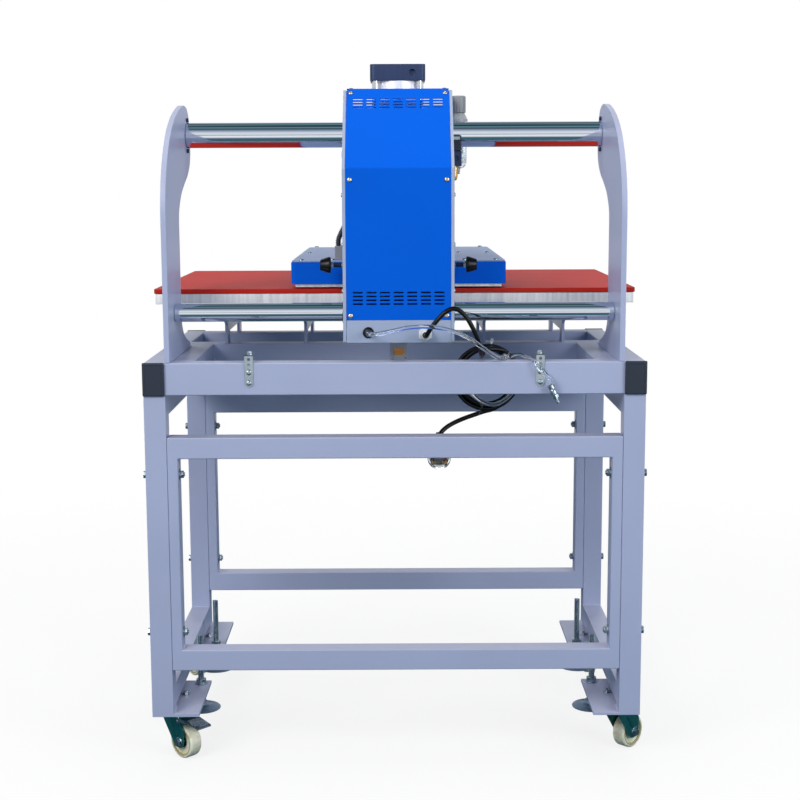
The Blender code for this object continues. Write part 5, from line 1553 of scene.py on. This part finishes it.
def make_controls():
    """Control box with its display and keys, the stop and start buttons and the push bar."""
    softened("control_box", "control_box_folded", "carriage", "blue_paint", 0.0014, 3)
    slope_up = Vector((0, 0.600 - 0.640, 1.262 - 1.190)).normalized()
    outward = Vector((0, slope_up.z, -slope_up.y))
    centre = Vector((CARRIAGE_X, y_of(0.620), 1.226))
    frame_matrix = Matrix.Translation(centre) @ Matrix((
        (-1, 0, 0, 0), (0, slope_up.y, outward.y, 0), (0, slope_up.z, outward.z, 0), (0, 0, 0, 1)))
    panel = prism([(px, py, -0.0005) for px, py in rounded([(-0.088, -0.034), (0.088, -0.034), (0.088, 0.034), (-0.088, 0.034)], 0.005, 5)],
                  (0, 0, 0.0017), 0.0004, 1)
    piece("control_panel_plate", copied_from(panel, frame_matrix), "carriage", "black_plastic")
    window = prism([(px, py, 0.0010) for px, py in rounded([(-0.076, -0.004), (-0.006, -0.004), (-0.006, 0.026), (-0.076, 0.026)], 0.0025, 4)],
                   (0, 0, 0.0010), 0.0003, 1)
    piece("control_display", copied_from(window, frame_matrix), "carriage", "black_plastic", "dark_glass")
    keys = bmesh.new()
    for column, finish in zip(range(4), (0, 0, 0, 1)):
        for row in range(2):
            kx, ky = 0.012 + 0.0185 * column, 0.004 + 0.0150 * row
            cap = turned([(0, 0.0011), (0.0058, 0.0011), (0.0058, 0.0024), (0.0052, 0.0031), (0, 0.0034)], 32)
            add(keys, cap, Matrix.Translation((kx, ky, 0)), finish=finish)
    for index in range(5):
        lamp = turned([(0, 0.0011), (0.0016, 0.0011), (0.0016, 0.0018), (0.0009, 0.0025), (0, 0.0027)], 20)
        add(keys, lamp, Matrix.Translation((-0.070 + 0.0145 * index, -0.0150, 0)), finish=1 if index == 0 else 2)
    piece("control_keys", copied_from(keys, frame_matrix), "carriage", "grey_plastic", "grey_plastic", "red_plastic", "green_plastic")
    screws = []
    for across in (-0.082, 0.082):
        for rise in (-0.028, 0.028):
            screws.append((frame_matrix @ Vector((across, rise, 0.0012)), outward))
    set_many("control_panel_screws", screws, lambda: dome_screw(0.0030, 0.0018), "carriage", "zinc")

    stop_low, stop_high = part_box("emergency_stop_button")
    middle_y, middle_z = (stop_low.y + stop_high.y) / 2, (stop_low.z + stop_high.z) / 2
    face_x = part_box("control_box")[0].x
    aim = aimed((face_x, middle_y, middle_z), (-1, 0, 0))
    mushroom = turned(
        [(0, -0.006), (0.0105, -0.006), (0.0105, 0.0112), (0.0150, 0.0116), (0.0160, 0.0126), (0.0160, 0.0150),
         (0.0152, 0.0171), (0.0126, 0.0192), (0.0080, 0.0206), (0, 0.0210)], 64)
    piece("emergency_stop_mushroom", copied_from(mushroom, aim), "stop_button", "red_plastic", replaces=("emergency_stop_button",))
    collar = turned([(0.0113, -0.002), (0.0145, -0.0004), (0.0172, 0.0), (0.0172, 0.0010), (0.0160, 0.0022), (0.0116, 0.0024)], 56)
    piece("emergency_stop_collar", copied_from(collar, aim), "carriage", "black_plastic")
    start_low, start_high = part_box("start_button")
    face_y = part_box("control_box")[1].y
    aim = aimed(((start_low.x + start_high.x) / 2, face_y, (start_low.z + start_high.z) / 2), (0, 1, 0))
    cap = turned([(0, -0.0055), (0.0105, -0.0055), (0.0105, 0.0036), (0.0098, 0.0048), (0.0085, 0.0046), (0, 0.0040)], 56)
    piece("start_button_cap", copied_from(cap, aim), "start_plunger", "green_plastic", replaces=("start_button",))
    bezel = turned([(0.0112, -0.001), (0.0155, -0.0004), (0.0162, 0.0004), (0.0155, 0.0026), (0.0128, 0.0036), (0.0113, 0.0030)], 56)
    piece("start_button_bezel", copied_from(bezel, aim), "carriage", "zinc")

    grip_low, grip_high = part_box("carriage_handle")
    y, z, span = y_of(0.690), 1.140, 0.0830
    grip = turned([(0, -span), (0.0064, -span), (0.0080, 0.0016 - span), (0.0080, span - 0.0016), (0.0064, span), (0, span)], 40)
    for vert in grip.verts:
        vert.co.x *= 1.0
    bar = copied_from(grip, aimed((CARRIAGE_X, y, z), (1, 0, 0)))
    for side in (-1, 1):
        leg = turned([(0, 0.0), (0.0105, 0.0), (0.0105, 0.0030), (0.0075, 0.0045), (0.0070, 0.0070), (0.0070, 0.0480), (0, 0.0480)], 36,
                     aimed((CARRIAGE_X + side * 0.070, y_of(0.6403), z), (0, 1, 0)))
        add(bar, leg)
    piece("push_bar", bar, "carriage", "chrome", replaces=("carriage_handle",))
    sleeve = [(0.0082, -0.058), (0.0094, -0.0575), (0.0098, -0.055)]
    for index in range(28):
        along = -0.0535 + 0.107 * index / 27
        sleeve += [(0.0098, along), (0.0091, along + 0.0010), (0.0091, along + 0.0022), (0.0098, along + 0.0032)]
    sleeve += [(0.0094, 0.0575), (0.0082, 0.058)]
    piece("push_bar_grip", turned(sleeve, 40, aimed((CARRIAGE_X, y, z), (1, 0, 0))), "carriage", "black_rubber")


def make_stops():
    """Rubber stops on threaded studs with lock nuts, and the station sensor under the carriage."""
    for label, side in SIDES:
        low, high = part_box(f"stop_bumper_{label}")
        face = CHEEK_LEFT if side < 0 else CHEEK_RIGHT
        place = aimed((face + side * 0.0003, (low.y + high.y) / 2, (low.z + high.z) / 2), (side, 0, 0))
        rubber = turned([(0, 0.0255), (0.0140, 0.0255), (0.0155, 0.0268), (0.0155, 0.0300), (0.0128, 0.0375), (0.0108, 0.0440),
                         (0.0096, 0.0455), (0, 0.0455)], 48, place)
        piece(f"stop_bumper_{label}_rubber", rubber, "carriage", "black_rubber", replaces=(f"stop_bumper_{label}",))
        stud = threaded(0.0045, 0.0005, 0.0262, 0.0010, 16)
        add(stud, hex_bolt(0.013, 0.0050), finish=1)
        add(stud, hex_prism(0.013, 0.0200, 0.0252), finish=1)
        piece(f"stop_stud_{label}", copied_from(stud, place), "carriage", "zinc", "black_anodised", "zinc")
    low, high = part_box("station_sensor")
    wide = (low.x, high.x)
    bracket = box(wide, (low.y, low.y + 0.0015), (low.z, high.z), 0.0004, 1)
    add(bracket, box(wide, (low.y, low.y + 0.016), (high.z - 0.0015, high.z), 0.0004, 1))
    piece("sensor_bracket", bracket, "carriage", "zinc", "pale_plastic", replaces=("station_sensor",))
    shell = box((wide[0] + 0.003, wide[1] - 0.003), (low.y + 0.0015, low.y + 0.0140), (0.7745, 0.8060), 0.0009)
    piece("sensor_body", shell, "carriage", "black_plastic")
    lens = box((low.x + 0.0070, high.x - 0.0070), (low.y - 0.0024, low.y), (0.7780, 0.7900), 0.0006)
    piece("sensor_lens", lens, "carriage", "red_plastic", "orange")
    screws = [((wide[0] + 0.0035, low.y, 0.7720), (0, -1, 0)), ((wide[1] - 0.0035, low.y, 0.7720), (0, -1, 0))]
    set_many("sensor_screws", screws, lambda: dome_screw(0.0020, 0.0012), "carriage", "zinc")


def make_carriage():
    softened("carriage_frame", "carriage_frame_plates", "carriage", "bracket_paint", 0.0008)
    make_rear_cover()
    make_connection_panel()
    make_gland()
    cheek_hardware()
    make_bushings()
    make_cylinder()
    make_air_unit()
    make_controls()
    make_stops()


# ---------------------------------------------------------------- head


def make_head():
    """Pressed housing with its lid, the heated platen, the piston rod and guide posts."""
    softened("head_housing", "head_housing_pressed", "head", "blue_paint", 0.0010, 3)
    lid = bevelled(cad_copy("head_lid"), 0.0009)
    # The lid's second finish is that darker copy of the carriage powder coat: painted shade on its upward face.
    piece("head_lid_pressed", lid, "head", "bracket_paint", "lid_paint_shaded", replaces=("head_lid",))
    softened("heat_platen", "heat_platen_milled", "head", "aluminium", 0.0015, 2)
    low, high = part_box("head_lid")
    places = []
    for x in (low.x + 0.018, (low.x + high.x) / 2 - 0.128, (low.x + high.x) / 2 + 0.128, high.x - 0.018):
        for y in (low.y + 0.016, (low.y + high.y) / 2, high.y - 0.016):
            places.append(((x, y, high.z), (0, 0, 1)))
    set_many("head_lid_screws", places, lambda: dome_screw(0.0050, 0.0030), "head", "zinc")
    sides = []
    housing_low, housing_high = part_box("head_housing")
    for x, side in ((housing_low.x, -1), (housing_high.x, 1)):
        for share in (0.12, 0.5, 0.88):
            sides.append(((x, housing_low.y + (housing_high.y - housing_low.y) * share, 0.929), (side, 0, 0)))
    set_many("head_side_screws", sides, lambda: dome_screw(0.0040, 0.0024), "head", "zinc")

    x, y = CARRIAGE_X, y_of(0.475)
    rod_low, rod_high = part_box("piston_rod")
    upright = Matrix.Translation((x, y, 0))
    base = rod_low.z
    rod = turned([(0, base), (0.0310, base), (0.0320, base + 0.001), (0.0320, base + 0.007), (0.0310, base + 0.008),
                  (0.0190, base + 0.0084), (0.0180, base + 0.0095), (0.0180, base + 0.020), (0.0168, base + 0.0212),
                  (0.0125, base + 0.0216), (0.0125, rod_high.z - 0.020), (0.0490, rod_high.z - 0.020), (0.0494, rod_high.z - 0.018),
                  (0.0494, rod_high.z), (0, rod_high.z)], 72, upright)
    piece("piston_rod_ground", rod, "head", "chrome", replaces=("piston_rod",))
    bolts = []
    for index in range(4):
        angle = math.radians(45 + 90 * index)
        bolts.append(((x + 0.0255 * math.cos(angle), y + 0.0255 * math.sin(angle), base + 0.008), (0, 0, 1)))
    set_many("rod_flange_bolts", bolts, lambda: socket_bolt(0.0044, 0.0046), "head", "black_anodised")
    collars = []
    for label, side in SIDES:
        low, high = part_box(f"guide_post_{label}")
        place = Matrix.Translation(((low.x + high.x) / 2, (low.y + high.y) / 2, 0))
        post = turned([(0, low.z), (0.0175, low.z), (0.0180, low.z + 0.0005), (0.0180, low.z + 0.0054), (0.0172, low.z + 0.0062),
                       (0.0130, low.z + 0.0066), (0.0125, low.z + 0.0180), (0.0112, low.z + 0.0190), (0.0100, low.z + 0.0192),
                       (0.0100, high.z - 0.0015), (0.0088, high.z), (0, high.z)], 56, place)
        piece(f"guide_post_{label}_ground", post, "head", "chrome", replaces=(f"guide_post_{label}",))
        for turn in (0, 120, 240):
            angle = math.radians(turn + 90)
            collars.append((place.translation + Vector((0.0150 * math.cos(angle), 0.0150 * math.sin(angle), low.z + 0.0060)), (0, 0, 1)))
        bush = turned([(0.0106, 1.1622), (0.0150, 1.1622), (0.0150, 1.1660), (0.0142, 1.1668), (0.0106, 1.1668)], 48, place)
        piece(f"guide_bush_{label}", bush, "carriage", "zinc", "brass")
    set_many("guide_post_screws", collars, lambda: socket_bolt(0.0022, 0.0026), "head", "black_anodised")


def make_conduit():
    """Armoured heater lead: a connector on the lid and a ribbed conduit up into the carriage column."""
    lid_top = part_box("head_lid")[1].z
    x, y = CARRIAGE_X - 0.1175, y_of(0.235)
    shell = box((x - 0.0075, x + 0.0110), (y - 0.0100, y + 0.0100), (lid_top, lid_top + 0.0260), 0.0016, 3)
    add(shell, box((x - 0.0095, x + 0.0130), (y - 0.0125, y + 0.0125), (lid_top, lid_top + 0.0030), 0.0008))
    piece("heater_connector", shell, "head", "grey_plastic")
    foot = lid_top + 0.0250
    route = [(x, y, foot), (x, y, foot + 0.014), (x + 0.010, y, foot + 0.036), (x + 0.026, y, foot + 0.066),
             (x + 0.031, y, foot + 0.100), (x + 0.031, y, 1.1500)]
    points = evenly(smooth([Vector(place) for place in route], 8), 0.0036)
    conduit = strand(points, 0.0046)
    for here, there in zip(points[1:-1], points[2:]):
        rib = turned([(0.0044, -0.0008), (0.0058, -0.0005), (0.0058, 0.0005), (0.0044, 0.0008)], 20, aimed(here, there - here))
        add(conduit, rib)
    made = piece("heater_conduit", conduit, None, "black_plastic", sharp=60)
    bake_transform(made)


# ---------------------------------------------------------------- things on the cords


def make_plug():
    """Clear domed mains plug, its pins forward: ribbed lead entry, coloured cores and brass clamps inside."""
    low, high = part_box("mains_plug")
    x, y, half = (low.x + high.x) / 2, (low.y + high.y) / 2, (high.x - low.x) / 2
    middle = low.z + half
    outline = [(half * math.cos(math.pi * step / 24), middle - half * math.sin(math.pi * step / 24))
               for step in range(25)]
    outline += [(-half, low.z + 0.0250), (-0.0105, high.z - 0.0030), (-0.0085, high.z), (0.0085, high.z),
                (0.0105, high.z - 0.0030), (half, low.z + 0.0250)]
    back, front = low.y + 0.0010, low.y + 0.0235
    shape = prism([(x + across, back, z) for across, z in outline], (0, front - back, 0))
    rims = [e for e in shape.edges if len(e.link_faces) == 2 and e.calc_face_angle(0) > 1.2]
    bevelled(shape, 0.0040, 4, edges=rims)
    for ring, rise in ((0.0165, 0.0), (0.0110, 0.0)):
        add(shape, turned([(ring, 0.0), (ring + 0.0012, 0.0), (ring + 0.0012, 0.0010), (ring, 0.0010)], 48,
                          aimed((x, back, middle + rise), (0, -1, 0))))
    piece("mains_plug_shell", shape, "frame", "clear_plastic", replaces=("mains_plug",))
    relief = [(0.0046, high.z + 0.0150), (0.0056, high.z + 0.0148)]
    for index in range(6):
        level = high.z + 0.0130 - 0.0030 * index
        wide = 0.0058 + 0.00035 * index
        relief += [(wide, level), (wide + 0.0008, level - 0.0006), (wide + 0.0008, level - 0.0016), (wide, level - 0.0022)]
    relief += [(0.0090, high.z - 0.0050), (0.0046, high.z - 0.0050)]
    piece("mains_plug_relief", turned(relief, 32, Matrix.Translation((x, y, 0))), "frame", "black_rubber")
    centre = Vector((x, y - 0.003, middle))
    pins, cores = bmesh.new(), bmesh.new()
    seats = ((0.0100, -0.0095), (-0.0100, -0.0095), (0.0, 0.0040))
    for finish, (across, rise) in enumerate(seats):
        px, pz = x + across, centre.z + rise
        add(pins, box((px - 0.0030, px + 0.0030), (front - 0.0040, high.y), (pz - 0.0010, pz + 0.0010), 0.0005, 1))
        add(pins, box((px - 0.0040, px + 0.0040), (front - 0.0150, front - 0.0040), (pz - 0.0038, pz + 0.0038), 0.0007, 1))
        add(pins, dome_screw(0.0026, 0.0016), aimed((px, front - 0.0150, pz), (0, -1, 0)))
        top = Vector((x + across * 0.15, y - 0.002, high.z - 0.0060))
        sway = Vector((x + across * 1.55 + 0.004 * (finish == 2), y - 0.006, centre.z + rise + 0.0035))
        end = Vector((px, y - 0.004, pz + 0.0020))
        add(cores, strand(smooth([top, (top + sway) / 2, sway, end], 6), 0.0015, 2), finish=finish)
    add(cores, box((x - 0.0150, x + 0.0150), (front - 0.0040, front - 0.0020), (centre.z - 0.0145, centre.z + 0.0110), 0.0008), finish=3)
    piece("mains_plug_pins", pins, "frame", "zinc", "brass")
    piece("mains_plug_cores", cores, "frame", "red_plastic", "red_plastic", "blue_paint", "green_plastic", "grey_plastic")


def make_coupling():
    """Plated quick-coupling nipple: clamped ferrule, hexagon, groove and nose."""
    low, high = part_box("hose_coupling")
    x, y = (low.x + high.x) / 2, (low.y + high.y) / 2
    z = low.z
    shape = turned([(0.0014, z + 0.0003), (0.0030, z), (0.0035, z + 0.0010), (0.0035, z + 0.0045), (0.0027, z + 0.0056),
                    (0.0027, z + 0.0070), (0.0036, z + 0.0080), (0.0036, z + 0.0098), (0.0050, z + 0.0106), (0.0050, z + 0.0120),
                    (0.0014, z + 0.0120)], 48, Matrix.Translation((x, y, 0)))
    add(shape, copied_from(hex_prism(0.0116, z + 0.0110, z + 0.0170), Matrix.Translation((x, y, 0))))
    ferrule = [(0.0034, high.z), (0.0056, high.z), (0.0060, high.z - 0.0008), (0.0060, z + 0.0186), (0.0054, z + 0.0178),
               (0.0034, z + 0.0176)]
    add(shape, turned(ferrule, 48, Matrix.Translation((x, y, 0))))
    hang = Matrix.Translation((x, y, high.z)) @ Matrix.Rotation(math.radians(-24), 4, "Y") @ Matrix.Translation((-x, -y, -high.z))
    piece("hose_nipple", copied_from(shape, hang), "frame", "zinc", replaces=("hose_coupling",))
    ferrule = turned([(0.0043, 0.0), (0.0062, 0.0), (0.0065, 0.0010), (0.0058, 0.0030), (0.0064, 0.0050), (0.0058, 0.0070),
                      (0.0065, 0.0095), (0.0062, 0.0105), (0.0043, 0.0105)], 48, Matrix.Translation((x, y, high.z + 0.0002)))
    piece("hose_ferrule", copied_from(ferrule, hang), "frame", "zinc")


def cable_tie(name, centre, across, radius_a, radius_b, width=0.0036):
    """Nylon tie pulled round a bundle: an oval band with its ratchet head and cut tail."""
    across = Vector(across).normalized()
    turn = Vector((0, 0, 1)).rotation_difference(across).to_matrix().to_4x4()
    profile = []
    steps = 40
    shape = bmesh.new()
    ring = []
    for step in range(steps):
        angle = math.tau * step / steps
        ring.append(shape.verts.new((radius_a * math.cos(angle), radius_b * math.sin(angle), -width / 2)))
    band = shape.faces.new(ring)
    grown = bmesh.ops.extrude_face_region(shape, geom=[band])["geom"]
    risen = [item for item in grown if isinstance(item, bmesh.types.BMVert)]
    bmesh.ops.translate(shape, vec=(0, 0, width), verts=risen)
    caps = [f for f in shape.faces if len(f.verts) > 8]
    bmesh.ops.delete(shape, geom=caps, context="FACES_ONLY")
    bmesh.ops.recalc_face_normals(shape, faces=shape.faces)
    bmesh.ops.solidify(shape, geom=shape.faces[:], thickness=0.0011)
    bmesh.ops.recalc_face_normals(shape, faces=shape.faces)
    add(shape, box((radius_a - 0.0006, radius_a + 0.0042), (-0.0030, 0.0030), (-0.0031, 0.0031), 0.0006))
    add(shape, box((radius_a + 0.0008, radius_a + 0.0022), (-0.0130, -0.0028), (-0.0017, 0.0017), 0.0003, 1))
    bmesh.ops.transform(shape, matrix=Matrix.Translation(centre) @ turn, verts=shape.verts)
    return piece(name, shape, "frame", "clear_plastic")


def make_ties():
    x, z = COIL_CENTRE
    middle = (COIL_RADII[0] + COIL_RADII[1]) / 2
    for name, degrees in (("coil_tie_upper", 82), ("coil_tie_lower", -100)):
        angle = math.radians(degrees)
        place = (x + middle * math.cos(angle), y_of(0.0813), z + middle * math.sin(angle))
        cable_tie(name, place, (-math.sin(angle), 0, math.cos(angle)), 0.0128, 0.0148)
    cable_tie("hose_tie", (0.2025, y_of(0.0300), 0.7825), (0.42, 0.90, 0), 0.0050, 0.0050, 0.0030)


# ---------------------------------------------------------------- the whole machine


def finish_plain_nodes():
    """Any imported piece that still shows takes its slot's finish."""
    for row in frame["record"]["subparts"]:
        mesh = nodes[row["node"]].data
        mesh.materials.clear()
        mesh.materials.append(FINISH[row["material_slot"]])


set_camera()
studio_world()
light_studio()
lay_floor()
finish_plain_nodes()
make_stand()
make_carriage()
make_head()
make_conduit()
make_plug()
make_coupling()
make_ties()
make_mains_lead(
)
make_air_line()
